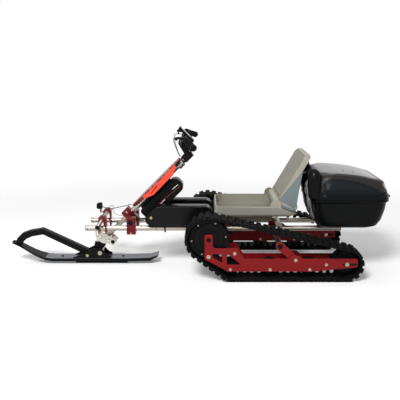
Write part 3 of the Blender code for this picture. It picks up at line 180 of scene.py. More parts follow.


# How each finish is made: roughness, metallic, specular, spread of tone, size of its blotches,
# strength and scale of its grain, stretch of its grain, coat, and the share of paler edges, which are partly rubbed
# and partly a painted highlight.
# A recipe names only what differs from the plain finish. The seat's finishes share the shell's.
PLAIN = {
    "roughness": 0.45, "metallic": 0.0, "specular": 0.25, "tone": 0.1, "blotch": 12.0,
    "grain": 0.1, "grain_scale": 900.0, "stretch": (1, 1, 1), "coat": 0.0, "edge_wear_and_highlight": 0.0,
}
SHELL = {"roughness": 0.5, "tone": 0.035, "blotch": 6.0, "grain": 0.14, "grain_scale": 1100.0}
RECIPES = {
    "silver": {"roughness": 0.34, "metallic": 1.0, "specular": 0.5, "tone": 0.06, "grain": 0.025,
               "grain_scale": 420.0, "stretch": (0.06, 1, 1)},
    "bright": {"roughness": 0.48, "metallic": 0.75, "specular": 0.4, "tone": 0.05, "grain": 0.03,
               "grain_scale": 500.0},
    "red": {"roughness": 0.4, "metallic": 0.1, "specular": 0.2, "tone": 0.07, "grain": 0.06, "edge_wear_and_highlight": 0.5},
    "crimson": {"roughness": 0.32, "metallic": 0.25, "grain": 0.05, "edge_wear_and_highlight": 0.4},
    "black": {"roughness": 0.46, "specular": 0.09, "tone": 0.16, "grain": 0.18},
    "wheel": {"roughness": 0.42, "specular": 0.14, "tone": 0.14, "grain": 0.14},
    "gloss": {"roughness": 0.26, "specular": 0.14, "grain": 0.02, "grain_scale": 300.0},
    "case": {"roughness": 0.3, "specular": 0.08, "grain": 0.16, "grain_scale": 1300.0},
    "case_panel": {"roughness": 0.44, "specular": 0.14, "grain": 0.22, "grain_scale": 1100.0},
    "roof": {"roughness": 0.15, "specular": 0.4, "tone": 0.08, "grain": 0.02, "grain_scale": 500.0},
    "bevel": {"roughness": 0.42, "specular": 0.2, "grain_scale": 1300.0},
    "paint": {"roughness": 0.42, "specular": 0.1, "grain": 0.14, "grain_scale": 1500.0, "edge_wear_and_highlight": 0.25},
    "rubber": {"roughness": 0.75, "specular": 0.07, "tone": 0.22, "blotch": 30.0, "grain": 0.35,
               "grain_scale": 650.0},
    "orange": {"roughness": 0.34, "tone": 0.03, "grain": 0.03, "coat": 0.1},
    "wine": {"roughness": 0.34, "tone": 0.06, "grain": 0.03},
    "cover_face": {"roughness": 0.42, "specular": 0.2, "tone": 0.16, "blotch": 26.0, "grain": 0.05},
    "seat": SHELL,
    "seat_shade": {**SHELL, "roughness": 0.48},
    "seat_side_shade": SHELL,
    "seat_under": {"roughness": 0.55, "specular": 0.2, "tone": 0.06, "blotch": 8.0, "grain": 0.14,
                   "grain_scale": 1100.0},
    "seat_panel_shade": SHELL,
    "deck": {"roughness": 0.34, "specular": 0.4, "tone": 0.14, "stretch": (0.05, 1, 1)},
    "brass": {"roughness": 0.28, "metallic": 1.0, "tone": 0.08, "grain": 0.04},
    "steel": {"roughness": 0.36, "metallic": 0.9, "specular": 0.3, "tone": 0.12, "blotch": 200.0, "grain": 0.06},
    "mark": {"roughness": 0.4, "specular": 0.4, "tone": 0.03, "grain": 0.02},
    "screen": {"roughness": 0.08, "specular": 0.5, "tone": 0.05, "grain": 0.0},
    "reflector": {"roughness": 0.16, "specular": 0.5, "grain": 0.3, "grain_scale": 380.0, "coat": 0.5},
    "lens": {"roughness": 0.1, "specular": 0.5, "tone": 0.05, "grain": 0.12, "grain_scale": 260.0, "coat": 0.6},
    "strap": {"roughness": 0.46, "specular": 0.4, "tone": 0.08, "grain": 0.12},
}


def put(socket, value):
    """Joins another node's output to a socket, or gives the socket a value."""
    if isinstance(value, bpy.types.NodeSocket):
        socket.id_data.links.new(value, socket)
    else:
        socket.default_value = value


def add_node(nodes, kind, inputs, output=0, **settings):
    """Adds a node, sets it up, fills its inputs and returns one of its outputs."""
    node = nodes.new(kind)
    for name, value in settings.items():
        setattr(node, name, value)
    for name, value in inputs.items():
        put(node.inputs[name], value)
    return node.outputs[output]


def worked(nodes, operation, *values, **settings):
    """Adds a maths node."""
    return add_node(nodes, "ShaderNodeMath", dict(enumerate(values)), operation=operation, **settings)


def ranged(nodes, value, *limits, **settings):
    """Maps a value from one range to another."""
    names = ("From Min", "From Max", "To Min", "To Max")
    return add_node(nodes, "ShaderNodeMapRange", {**dict(zip(names, limits)), "Value": value}, "Result", **settings)


def add_noise(nodes, place, scale, detail):
    inputs = {"Scale": scale, "Detail": detail, "Roughness": 0.6, "Vector": place}
    return add_node(nodes, "ShaderNodeTexNoise", inputs, "Fac")


def mix_colours(nodes, share, first, second):
    colours_in = [(*value, 1.0) if isinstance(value, tuple) else value for value in (first, second)]
    inputs = {"Factor": share, 6: colours_in[0], 7: colours_in[1]}
    return add_node(nodes, "ShaderNodeMix", inputs, 2, data_type="RGBA")


def edge_share(nodes):
    """How near a point is to an edge made paler, partly rubbed and partly a painted highlight, from the difference of
    the rounded and true normals.
    """
    rounded = add_node(nodes, "ShaderNodeBevel", {"Radius": EDGE_WEAR_AND_HIGHLIGHT_REACH}, "Normal", samples=4)
    true = nodes.new("ShaderNodeNewGeometry").outputs["Normal"]
    match = add_node(nodes, "ShaderNodeVectorMath", {0: rounded, 1: true}, "Value", operation="DOT_PRODUCT")
    return ranged(nodes, match, 0.995, 0.9)


def make_finish(name):
    """Builds one finish from its recipe and its colour setting."""
    recipe = {**PLAIN, **RECIPES[name]}
    base = tuple(getattr(colours(), name))
    material = bpy.data.materials.new(name)
    material.use_nodes = True
    nodes = material.node_tree.nodes
    place = nodes.new("ShaderNodeTexCoord").outputs["Object"]
    stretched = add_node(nodes, "ShaderNodeMapping", {"Scale": recipe["stretch"], "Vector": place}, "Vector")

    tone, level = recipe["tone"], recipe["roughness"]
    dark = tuple(value * (1 - tone) for value in base)
    light = tuple(min(1.0, value * (1 + tone)) for value in base)
    shade = mix_colours(nodes, add_noise(nodes, place, recipe["blotch"], 5.0), dark, light)
    # Paler edges in ragged spots, partly rubbed and partly a painted edge highlight.
    if recipe["edge_wear_and_highlight"]:
        worn_and_lit = tuple(value + (0.75 - value) * 0.35 for value in base)
        spots = ranged(nodes, add_noise(nodes, place, 90.0, 6.0), 0.45, 0.75, 0.0, recipe["edge_wear_and_highlight"])
        shade = mix_colours(nodes, worked(nodes, "MULTIPLY", edge_share(nodes), spots), shade, worn_and_lit)
    smears = add_noise(nodes, stretched, 55.0, 7.0)
    inputs = {
        "Metallic": recipe["metallic"], "Specular IOR Level": recipe["specular"], "Coat Weight": recipe["coat"],
        "Coat Roughness": 0.12, "Base Color": shade,
        "Roughness": ranged(nodes, smears, 0.3, 0.7, level * 0.8, min(1.0, level * 1.22)),
    }
    if recipe["grain"]:
        grain = add_noise(nodes, stretched, recipe["grain_scale"], 3.0)
        bumps = {"Strength": recipe["grain"], "Distance": GRAIN_DEPTH, "Height": grain}
        inputs["Normal"] = add_node(nodes, "ShaderNodeBump", bumps, "Normal")
    for socket, value in inputs.items():
        put(nodes["Principled BSDF"].inputs[socket], value)
    return material


def finish(name):
    """Returns a finish, made when it is first asked for."""
    return bpy.data.materials.get(name) or make_finish(name)


def edge_keeper():
    """Node group that drops the imported normals, shades smooth and keeps the hard edges."""
    group = bpy.data.node_groups.get("keep_hard_edges")
    if group:
        return group
    group = bpy.data.node_groups.new("keep_hard_edges", "GeometryNodeTree")
    for way in ("INPUT", "OUTPUT"):
        group.interface.new_socket("Geometry", in_out=way, socket_type="NodeSocketGeometry")
    nodes = group.nodes
    start = nodes.new("NodeGroupInput").outputs[0]
    plain = add_node(nodes, "GeometryNodeRemoveAttribute", {"Name": "custom_normal", "Geometry": start})
    smooth = add_node(nodes, "GeometryNodeSetShadeSmooth", {"Geometry": plain})
    angle = nodes.new("GeometryNodeInputMeshEdgeAngle").outputs["Unsigned Angle"]
    hard = add_node(nodes, "FunctionNodeCompare", {0: angle, 1: math.radians(38)}, operation="GREATER_THAN")
    edges = {"Geometry": smooth, "Selection": hard, "Shade Smooth": False}
    settled = add_node(nodes, "GeometryNodeSetShadeSmooth", edges, domain="EDGE")
    put(nodes.new("NodeGroupOutput").inputs[0], settled)
    return group


def bevel_edges(piece, width, segments, angle):
    """Rounds the edges of a piece that are sharper than an angle."""
    bevel = piece.modifiers.new("rounded_edges", "BEVEL")
    bevel.width = width
    bevel.segments = segments
    bevel.limit_method = "ANGLE"
    bevel.angle_limit = math.radians(angle)
    return bevel


def flatten_faces(piece):
    """Keeps large faces flat in their shading."""
    piece.modifiers.new("flat_faces", "WEIGHTED_NORMAL").keep_sharp = True


def dress(node, *names, choose=None, width=None, segments=2, angle=32.0):
    """Gives a CAD node its finishes, one per face where choose says so, and rounds its edges."""
    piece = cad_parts[node]
    piece.data.materials.clear()
    for name in names:
        piece.data.materials.append(finish(name))
    for face in piece.data.polygons:
        face.material_index = choose(face.center, face.normal) if choose else 0
    piece.modifiers.new("joined", "WELD").merge_threshold = 0.00001
    flat = piece.modifiers.new("whole_faces", "DECIMATE")
    flat.decimate_type = "DISSOLVE"
    flat.angle_limit = math.radians(0.6)
    flat.delimit = {"MATERIAL"}
    bevel_edges(piece, sizes().edge if width is None else width, segments, angle).miter_outer = "MITER_ARC"
    piece.modifiers.new("hard_edges", "NODES").node_group = edge_keeper()
    flatten_faces(piece)


def add_object(name, data):
    """Adds an object with its data to the scene."""
    piece = bpy.data.objects.new(name, data)
    bpy.context.scene.collection.objects.link(piece)
    return piece


class Shape:
    """A mesh made of closed forms, each with one of the shape's finishes."""

    def __init__(self, *names):
        self.names = names
        self.mesh = bmesh.new()

    def skin(self, rows, use=0, looped=False):
        """Joins rows of points into a closed form. A row of one point is a tip."""
        rings = [[self.mesh.verts.new(point) for point in row] for row in rows]
        pairs = list(zip(rings, rings[1:]))
        if looped:
            pairs.append((rings[-1], rings[0]))
        for low, high in pairs:
            count = max(len(low), len(high))
            for i in range(count):
                j = (i + 1) % count
                corners = (low[i % len(low)], low[j % len(low)], high[j % len(high)], high[i % len(high)])
                corners = list(dict.fromkeys(corners))
                if len(corners) > 2:
                    self.mesh.faces.new(corners).material_index = use
        if not looped:
            for ring in (rings[0], rings[-1]):
                if len(ring) > 2:
                    self.mesh.faces.new(ring).material_index = use

    def turned(self, place, profile, use=0, steps=24, looped=False):
        """Turns a profile of (radius, height) pairs round the place's third axis."""
        rows = []
        for radius, height in profile:
            if radius == 0:
                rows.append([place @ Vector((0, 0, height))])
                continue
            angles = [2 * math.pi * i / steps for i in range(steps)]
            rows.append([place @ Vector((radius * math.cos(a), radius * math.sin(a), height)) for a in angles])
        self.skin(rows, use, looped)

    def tube(self, points, radius, use=0, steps=12, looped=False):
        """Sweeps a round section along points. Radius is one number or one per point."""
        points = [Vector(point) for point in points]
        count = len(points)
        radii = radius if isinstance(radius, (list, tuple)) else [radius] * count
        rows, side = [], None
        for i, point in enumerate(points):
            before = points[i - 1] if i or looped else point
            after = points[(i + 1) % count] if i < count - 1 or looped else point
            along = (after - before).normalized()
            if side is None:
                side = along.orthogonal().normalized()
            side = (side - along * side.dot(along)).normalized()
            other = along.cross(side)
            angles = [2 * math.pi * k / steps for k in range(steps)]
            rows.append([point + (side * math.cos(a) + other * math.sin(a)) * radii[i] for a in angles])
        self.skin(rows, use, looped)

    def slab(self, place, outline, low, high, use=0, chamfer=0.0008):
        """Raises a flat outline from low to high, with its edges chamfered."""
        inner = inset(outline, chamfer)
        levels = ((inner, low), (outline, low + chamfer), (outline, high - chamfer), (inner, high))
        self.skin([[place @ Vector((u, v, level)) for u, v in points] for points, level in levels], use)

    def bolt(self, place, radius, height, use=0, washer=True, hole=None):
        """Adds a socket head bolt, on a washer; hole is the finish of its socket."""
        if washer:
            self.turned(place, [(radius * 1.3, 0), (radius * 1.3, height * 0.16), (radius * 1.2, height * 0.24),
                                (0, height * 0.24)], use, 24)
        self.turned(place, [(radius, height * 0.1), (radius, height * 0.7), (radius * 0.86, height),
                            (radius * 0.6, height)], use, 24)
        self.turned(place, [(radius * 0.6, height * 0.3), (radius * 0.6, height), (radius * 0.54, height),
                            (radius * 0.5, height * 0.42), (0, height * 0.4)], use if hole is None else hole, 6)

    def band(self, place, inner, outer, width, use=0, steps=32):
        """Adds a ring of square section round the place's third axis."""
        half, lip = width / 2, min(width, outer - inner) * 0.25
        self.turned(place, [(inner, -half), (outer - lip, -half), (outer, lip - half), (outer, half - lip),
                            (outer - lip, half), (inner, half)], use, steps, looped=True)

    def done(self, name, body, width=0.0, crease=36.0):
        """Turns the forms into a piece that moves with a body."""
        bmesh.ops.remove_doubles(self.mesh, verts=self.mesh.verts, dist=1e-7)
        bmesh.ops.recalc_face_normals(self.mesh, faces=self.mesh.faces)
        for face in self.mesh.faces:
            face.smooth = True
        for edge in self.mesh.edges:
            if len(edge.link_faces) == 2:
                edge.smooth = edge.calc_face_angle(0.0) < math.radians(crease)
        data = bpy.data.meshes.new(name)
        self.mesh.to_mesh(data)
        self.mesh.free()
        for material in self.names:
            data.materials.append(finish(material))
        piece = add_object(name, data)
        if width:
            bevel_edges(piece, width, 1, crease)
        flatten_faces(piece)
        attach(piece, body)
        return piece


def inset(outline, distance):
    """Moves each corner of an outline inwards by a distance."""
    count = len(outline)
    turn = sum(a[0] * b[1] - b[0] * a[1] for a, b in zip(outline, outline[1:] + outline[:1]))
    way = 1.0 if turn > 0 else -1.0
    corners = []
    for i in range(count):
        here, before, after = (Vector(outline[k % count]) for k in (i, i - 1, i + 1))
        first, second = (here - before).normalized(), (after - here).normalized()
        normal = Vector((-first.y - second.y, first.x + second.x)).normalized() * way
        share = max(0.35, normal.dot(Vector((-first.y, first.x)) * way))
        corners.append(tuple(here + normal * distance / share))
    return corners


def facing(centre, direction):
    """Place at a centre whose third axis points along a direction."""
    return Matrix.Translation(Vector(centre)) @ Vector(direction).to_track_quat("Z", "X").to_matrix().to_4x4()


def on_side(x, y, z, side):
    """Place on one side of the kart whose third axis points away from the middle."""
    return facing((x, side * y, z), (0, side, 0))


def placed(first, second, third, foot):
    """Place at a foot point with three given axes."""
    return Matrix((*zip(first, second, third, foot), (0, 0, 0, 1)))


def side_view(y, side=1.0):
    """Place of an outline given in x and z, raised away from the middle from a distance y."""
    return placed((1, 0, 0), (0, 0, 1), (0, side, 0), (0, side * y, 0))


def top_view(z=0.0):
    """Place of an outline given in x and y, raised from a height z."""
    return Matrix.Translation((0, 0, z))


def column_view(y, side=1.0):
    """Place of an outline given along and behind the column, raised away from the middle."""
    return placed(ALONG, BEHIND, (0, side, 0), (COLUMN_FOOT.x, side * y, COLUMN_FOOT.z))


def column_top_view(along):
    """Place of an outline given behind and across the column, raised along it."""
    return placed(BEHIND, ACROSS, ALONG, COLUMN_FOOT + ALONG * along)


def column_point(along, behind, y=0.0):
    return COLUMN_FOOT + ALONG * along + BEHIND * behind + ACROSS * y


def column_share(point):
    """A point's distances along and behind the column."""
    away = Vector(point) - COLUMN_FOOT
    return away.dot(ALONG), away.dot(BEHIND)


def rounded_box(x0, y0, x1, y1, radius, steps=4):
    """Outline of a rectangle with round corners."""
    points = []
    for cx, cy, start in ((x1 - radius, y1 - radius, 0), (x0 + radius, y1 - radius, 90),
                          (x0 + radius, y0 + radius, 180), (x1 - radius, y0 + radius, 270)):
        for i in range(steps + 1):
            angle = math.radians(start + 90 * i / steps)
            points.append((cx + radius * math.cos(angle), cy + radius * math.sin(angle)))
    return points


def bar_outline(start, end, width, steps=4):
    """Outline of a round-ended bar between two points."""
    start, end = Vector(start), Vector(end)
    heading = math.atan2(end.y - start.y, end.x - start.x)
    points = []
    for centre, first in ((end, heading - math.pi / 2), (start, heading + math.pi / 2)):
        for i in range(steps * 2 + 1):
            angle = first + math.pi * i / (steps * 2)
            points.append((centre.x + width / 2 * math.cos(angle), centre.y + width / 2 * math.sin(angle)))
    return points


def smooth_route(points, steps=6):
    """Points of a smooth curve through the given ones."""
    points = [Vector(point) for point in points]
    ends = [points[0] * 2 - points[1], *points, points[-1] * 2 - points[-2]]
    route = []
    for i in range(1, len(ends) - 2):
        a, b, c, d = ends[i - 1:i + 3]
        for k in range(steps):
            t = k / steps
            route.append(0.5 * (2 * b + (c - a) * t + (2 * a - 5 * b + 4 * c - d) * t * t
                                + (3 * b - a - 3 * c + d) * t * t * t))
    route.append(points[-1])
    return route


def add_cable(name, body, points, diameter, use="rubber"):
    route = smooth_route(points)
    data = bpy.data.curves.new(name, "CURVE")
    data.dimensions = "3D"
    data.bevel_depth = diameter / 2
    data.bevel_resolution = 3
    data.use_fill_caps = True
    spline = data.splines.new("POLY")
    spline.points.add(len(route) - 1)
    for knot, point in zip(spline.points, route):
        knot.co = (*point, 1.0)
    data.materials.append(finish(use))
    piece = add_object(name, data)
    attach(piece, body)


def belt_route(offset, spacing=0.012):
    """Points round the belt at a distance outside its inner face, as x and z, each with its outward way."""
    turns = []
    for i in range(3):
        here, after = BELT_TURNS[i], BELT_TURNS[(i + 1) % 3]
        away = Vector((after[0] - here[0], after[1] - here[1]))
        heading = math.atan2(away.y, away.x)
        turns.append(heading - math.acos((here[2] - after[2]) / away.length))
    route = []
    for i in range(3):
        x, z, radius = BELT_TURNS[i]
        start, end = turns[i - 1], turns[i]
        while end < start:
            end += 2 * math.pi
        count = max(2, int((end - start) * radius / spacing))
        for k in range(count + 1):
            angle = start + (end - start) * k / count
            way = Vector((math.cos(angle), math.sin(angle)))
            route.append((Vector((x, z)) + way * (radius + offset), way))
        after = BELT_TURNS[(i + 1) % 3]
        way = Vector((math.cos(end), math.sin(end)))
        last = Vector((after[0], after[1])) + way * (after[2] + offset)
        first = route[-1][0]
        straight = int((last - first).length / spacing)
        for k in range(1, straight):
            route.append((first.lerp(last, k / straight), way))
    return route


def belt_stations(offset, pitch):
    """Evenly spaced places round the belt: position, outward way and travel."""
    route = belt_route(offset, 0.004)
    lengths = [0.0]
    for (a, _), (b, _) in zip(route, route[1:] + route[:1]):
        lengths.append(lengths[-1] + (b - a).length)
    count = round(lengths[-1] / pitch)
    stations, index = [], 0
    for k in range(count):
        target = lengths[-1] * (k + 0.5) / count
        while lengths[index + 1] < target:
            index += 1
        share = (target - lengths[index]) / max(lengths[index + 1] - lengths[index], 1e-9)
        (a, first), (b, second) = route[index], route[(index + 1) % len(route)]
        way = first.lerp(second, share).normalized()
        stations.append((a.lerp(b, share), way, Vector((-way.y, way.x))))
    return stations


def add_lug(shape, station, side, y0, y1, base, top, low, high, taper=0.001):
    """Adds one block on the belt, base and top long, from low to high along the outward way."""
    centre, way, travel = station
    rows = []
    for half, level, tuck in ((base / 2, low, 0.0), (top / 2, high, taper)):
        row = []
        for sign, y in ((-1, y0 + tuck), (1, y0 + tuck), (1, y1 - tuck), (-1, y1 - tuck)):
            flat = centre + travel * (half * sign) + way * level
            row.append(Vector((flat.x, side * y, flat.y)))
        rows.append(row)
    shape.skin(rows)


def add_belt(side, name, node):
    """Makes one rubber belt with its outer lugs, guide lugs and clips."""
    size = sizes()
    shape = Shape("rubber")
    y0, y1 = BELT_Y
    thick, lip = size.band_thickness, 0.0016
    rows = []
    for centre, way in belt_route(0.0):
        section = ((y0 + 0.022, 0), (y0 + 0.018, 0.0045), (y0, 0.005), (y0, thick - lip), (y0 + lip, thick),
                   (y1 - lip, thick), (y1, thick - lip), (y1, lip), (y1 - lip, 0))
        rows.append([Vector(((centre + way * up).x, side * y, (centre + way * up).y)) for y, up in section])
    shape.skin(rows, 0, looped=True)
    for k, station in enumerate(belt_stations(thick, size.lug_pitch)):
        blocks = 4 if k % 2 else 3
        gap = 0.008 if k % 2 else 0.012
        wide = (y1 - y0 - gap * (blocks - 1)) / blocks
        for b in range(blocks):
            low = y0 + b * (wide + gap)
            add_lug(shape, station, side, low, low + wide, size.lug_base, size.lug_top, -0.001, size.lug_height)
    for station in belt_stations(0.0, size.lug_pitch):
        add_lug(shape, station, side, 0.293, 0.3025, 0.026, 0.017, 0.001, -size.guide_height, 0.0015)
        add_lug(shape, station, side, 0.343, 0.357, 0.012, 0.01, 0.0005, -0.0014, 0.0005)
    piece = shape.done(name, "frame", width=0.0005)
    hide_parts(node)


class KART_OT_frame(bpy.types.Operator):
    """Finishes the rails, tubes, clamps and brackets of the frame"""

    bl_idname = "kart.finish_frame"
    bl_label = "Finish Frame"

    def execute(self, context):
        for side in SIDES:
            dress(f"{side}_frame_rail", "silver")
            for part in ("outer_plate", "inner_plate", "link_arm"):
                dress(f"{side}_{part}", "red", width=0.001)
        dress("steering_sleeve", "silver")
        for clamp in ("front_crossbar", "column_clamp"):
            dress(clamp, "crimson", width=0.0025, segments=3)
        dress("foot_rest", "silver", "crimson",
              choose=lambda c, n: int(abs(c.y) < 0.129 and math.hypot(c.x - FOOT_TUBE[0],
                                                                      c.z - FOOT_TUBE[1]) > 0.0134))
        dress("seat_bracket", "silver", width=0.001)
        for tube in ("front_under_tube", "rear_under_tube"):
            dress(tube, "paint", "red", choose=lambda c, n: int(c.z > SADDLE_Z))
        dress("case_carrier", "paint", width=0.001)
        dress("control_unit", "paint", width=0.003, segments=3)
        return {"FINISHED"}


class KART_OT_rail_trim(bpy.types.Operator):
    """Adds the rails' end plugs, bands and cable clips"""

    bl_idname = "kart.add_rail_trim"
    bl_label = "Rail Plugs and Clips"

    def execute(self, context):
        for side, sign in SIDES.items():
            shape = Shape("black", "steel")
            y = sign * RAIL_Y
            for end, way in zip(RAIL_ENDS, (-1, 1)):
                shape.turned(facing((end, y, RAIL_Z), (way, 0, 0)),
                             [(0.0152, -0.0003), (0.016, 0.0006), (0.016, 0.0024), (0.0146, 0.0036),
                              (0.007, 0.004), (0.006, 0.003), (0, 0.003)], 0, 32)
            for x, wide, out in ((0.674, 0.0022, 0.001), (0.252, 0.003, 0.0012), (0.197, 0.01, 0.0026),
                                 (0.062, 0.01, 0.0026)):
                shape.band(facing((x, y, RAIL_Z), (1, 0, 0)), RAIL_RADIUS, RAIL_RADIUS + out, wide)
                if wide > 0.005:
                    foot = rounded_box(x - 0.0045, y - 0.006, x + 0.0045, y + 0.006, 0.002, 2)
                    shape.slab(top_view(), foot, RAIL_Z - 0.026, RAIL_Z - 0.0165)
                    shape.bolt(facing((x, y, RAIL_Z - 0.026), (0, 0, -1)), 0.003, 0.0022, 1, washer=False)
            shape.done(f"{side}_rail_trim", "frame")
        return {"FINISHED"}


class KART_OT_front_trim(bpy.types.Operator):
    """Adds the bolts and caps of the front clamps, foot rest and lamp"""

    bl_idname = "kart.add_front_trim"
    bl_label = "Front Clamps, Foot Rest and Lamp"

    def execute(self, context):
        shape = Shape("black", "steel", "silver")
        clamp_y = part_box("front_crossbar")[1][1]
        column_clamp_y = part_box("column_clamp")[1][1]
        for sign in SIDES.values():
            shape.turned(on_side(0.407, clamp_y, 0.287, sign),
                         [(0.0155, -0.001), (0.0155, 0.0016), (0.0145, 0.0026), (0.004, 0.0028), (0.003, 0.002),
                          (0, 0.002)])
            shape.bolt(on_side(0.405, clamp_y - 0.008, 0.2215, sign), 0.0058, 0.007, 1)
            for along, behind in ((0.235, -0.022), (0.235, 0.044)):
                shape.bolt(facing(column_point(along, behind, sign * column_clamp_y), (0, sign, 0)), 0.0055, 0.005, 1)
            end = Vector((FOOT_END.x, sign * FOOT_END.y, FOOT_END.z))
            peg = (end - Vector((FOOT_BEND.x, sign * FOOT_BEND.y, FOOT_BEND.z))).normalized()
            shape.turned(facing(end, peg), [(0.0126, -0.006), (0.0136, -0.005), (0.0136, 0.001), (0.012, 0.0028),
                                            (0, 0.0034)])
            for back in (0.026, 0.04, 0.054):
                shape.band(facing(end - peg * back, peg), 0.0124, 0.0132, 0.0022, 2)
            for x in (0.562, 0.6):
                shape.bolt(on_side(x, RAIL_Y + 0.023, 0.226, sign), 0.0026, 0.0022, 1)
        shape.done("front_bolts", "frame")

        dress("headlight", "black", "silver", choose=lambda c, n: int(c.z < 0.322 and c.x < 0.62), width=0.0015,
              segments=3)
        lamp = Shape("black", "lens")
        x, y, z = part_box("headlight")[1][0], -RAIL_Y, 0.342
        front = facing((x, y, z), (1, 0, 0))
        lamp.turned(front, [(0.015, -0.001), (0.0158, 0.001), (0.0158, 0.004), (0.0138, 0.0048), (0.0132, 0.002),
                            (0, 0.002)], 0, 28)
        lamp.turned(front, [(0.013, 0.0015), (0.0126, 0.003), (0.007, 0.0044), (0, 0.0048)], 1, 28)
        for k in range(4):
            fin = rounded_box(x - 0.028 + k * 0.0052, -0.0145, x - 0.0256 + k * 0.0052, 0.0145, 0.001, 2)
            lamp.slab(Matrix.Translation((0, y, 0)), fin, z + 0.0165, z + 0.0215, 0, 0.0004)
        lamp.done("headlight_lens", "frame")

        ring = Shape("strap")
        loop = [(0.537 + 0.0125 * math.cos(a), 0.0, 0.355 + 0.0125 * math.sin(a))
                for a in (2 * math.pi * k / 28 for k in range(28))]
        ring.tube(loop, 0.0019, 0, 10, looped=True)
        ring.tube(smooth_route([(0.531, 0, 0.344), (0.527, 0, 0.33), (0.514, 0, 0.311), (0.48, 0, 0.301),
                                (0.462, 0, 0.3)]), 0.0018, 0, 10)
        ring.done("tie_ring", "frame")
        return {"FINISHED"}


class KART_OT_batteries(bpy.types.Operator):
    """Finishes the three battery housings and adds their marks and bolts"""

    bl_idname = "kart.finish_batteries"
    bl_label = "Batteries"

    def execute(self, context):
        for side, sign in SIDES.items():
            dress(f"{side}_battery", "gloss", width=0.01, segments=5)
            low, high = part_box(f"{side}_battery")
            face = max(abs(low[1]), abs(high[1]))
            inner = min(abs(low[1]), abs(high[1]))
            middle = (face + inner) / 2
            shape = Shape("black", "brass", "gloss")
            shape.bolt(on_side(0.28, face, 0.3215, sign), 0.0062, 0.0035, 1)
            shape.bolt(on_side(-0.062, face, 0.3215, sign), 0.0062, 0.0035, 1)
            ridge = rounded_box(low[0] + 0.035, inner + 0.018, high[0] - 0.06, face - 0.018, 0.012, 4)
            ridge = [(x, sign * y) for x, y in ridge]
            shape.slab(top_view(), ridge, high[2] - 0.002, high[2] + 0.003, 2, 0.0015)
            socket = facing((high[0] - 0.0003, sign * middle, 0.305), (1, 0, 0))
            shape.turned(socket, [(0.016, -0.001), (0.016, 0.004), (0.0145, 0.006), (0.009, 0.006), (0.008, 0.002),
                                  (0, 0.002)])
            shape.done(f"{side}_battery_trim", "frame")

        dress("column_battery", "case", width=0.007, segments=4)
        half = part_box("column_battery")[1][1]
        for side, sign in SIDES.items():
            marks = Shape("mark", "reflector")
            place = side_view(half - 0.0004, sign)
            for start, end in (((0.2308, 0.383), (0.1999, 0.4141)), ((0.1521, 0.4793), (0.1184, 0.5076))):
                marks.slab(place, bar_outline(start, end, 0.0038, 2), 0, 0.0009, 0, 0.0002)
            line = smooth_route([(0.2696, 0.3664, 0), (0.1867, 0.4306, 0), (0.1024, 0.5019, 0)], 4)
            for a, b in zip(line, line[1:]):
                marks.slab(place, bar_outline(a.xy, b.xy, 0.0024, 1), 0, 0.001, 1, 0.0002)
            marks.done(f"{side}_battery_marks", "frame")
        return {"FINISHED"}


class KART_OT_cover(bpy.types.Operator):
    """Finishes the column cover and adds its slots and edge lines"""

    bl_idname = "kart.finish_cover"
    bl_label = "Column Cover"

    def execute(self, context):
        # Faces turned back towards the column and the cover's lowest part take the dark red, a painted shade.
        def choose(centre, normal):
            along, behind = column_share(centre)
            if along > 0.662:
                return 3
            if normal.dot(BEHIND) < -0.9 and behind < -0.0235:
                return 1
            return 2 if normal.dot(BEHIND) > 0.2 or along < 0.384 else 0

        dress("front_cover", "orange", "cover_face", "wine", "paint", choose=choose, width=0.0008)

        # a grey facing over the front and the first part of both wings
        rows, edges = [], []
        for along, half, wide, reach in COVER_STATIONS:
            rim = half + (wide - half) * 0.17
            level = -0.0257 + (reach + 0.025) * 0.17
            rows.append([column_point(along, behind, y) for y, behind in (
                (-rim, level), (-half, -0.0262), (half, -0.0262), (rim, level),
                (rim - 0.001, level + 0.0016), (half, -0.0244), (-half, -0.0244), (0.001 - rim, level + 0.0016))])
            edges.append((along, half, rim, level))
        facing_shape = Shape("cover_face", "reflector", "black")
        facing_shape.skin(rows, 0)
        for sign in SIDES.values():
            for k, radius in ((1, 0.0013), (2, 0.0015)):
                line = [column_point(along, -0.0262 if k == 1 else level, sign * (half if k == 1 else rim))
                        for along, half, rim, level in edges]
                facing_shape.tube(line, radius, 1, 8)
            for along, wide in ((0.41, 0.034), (0.47, 0.012), (0.512, 0.04), (0.566, 0.014), (0.628, 0.03),
                                (0.676, 0.012)):
                ends = []
                for spot in (along, along + wide):
                    for a, b in zip(edges, edges[1:]):
                        if a[0] <= spot <= b[0]:
                            share = (spot - a[0]) / (b[0] - a[0])
                            low, high = (a[k] + (b[k] - a[k]) * share for k in (1, 2))
                            level = a[3] + (b[3] - a[3]) * share
                            ends.append(column_point(spot, (level - 0.0262) / 2 - 0.0001, sign * (low + high) / 2))
                facing_shape.tube(ends, 0.0021, 2, 8)
        facing_shape.done("cover_facing", "frame")

        shape = Shape("black")
        for sign in SIDES.values():
            wing = column_point(0.471, -0.0045, sign * 0.0838)
            lean = ACROSS * (sign * 0.65) - BEHIND * 0.76
            cut = placed(ALONG, BEHIND * 0.65 + ACROSS * (sign * 0.76), lean, wing)
            shape.slab(cut, bar_outline((-0.027, 0.006), (0.027, -0.005), 0.0052, 2), -0.0024, 0.0022, 0, 0.0004)
        shape.done("cover_trim", "frame")
        return {"FINISHED"}


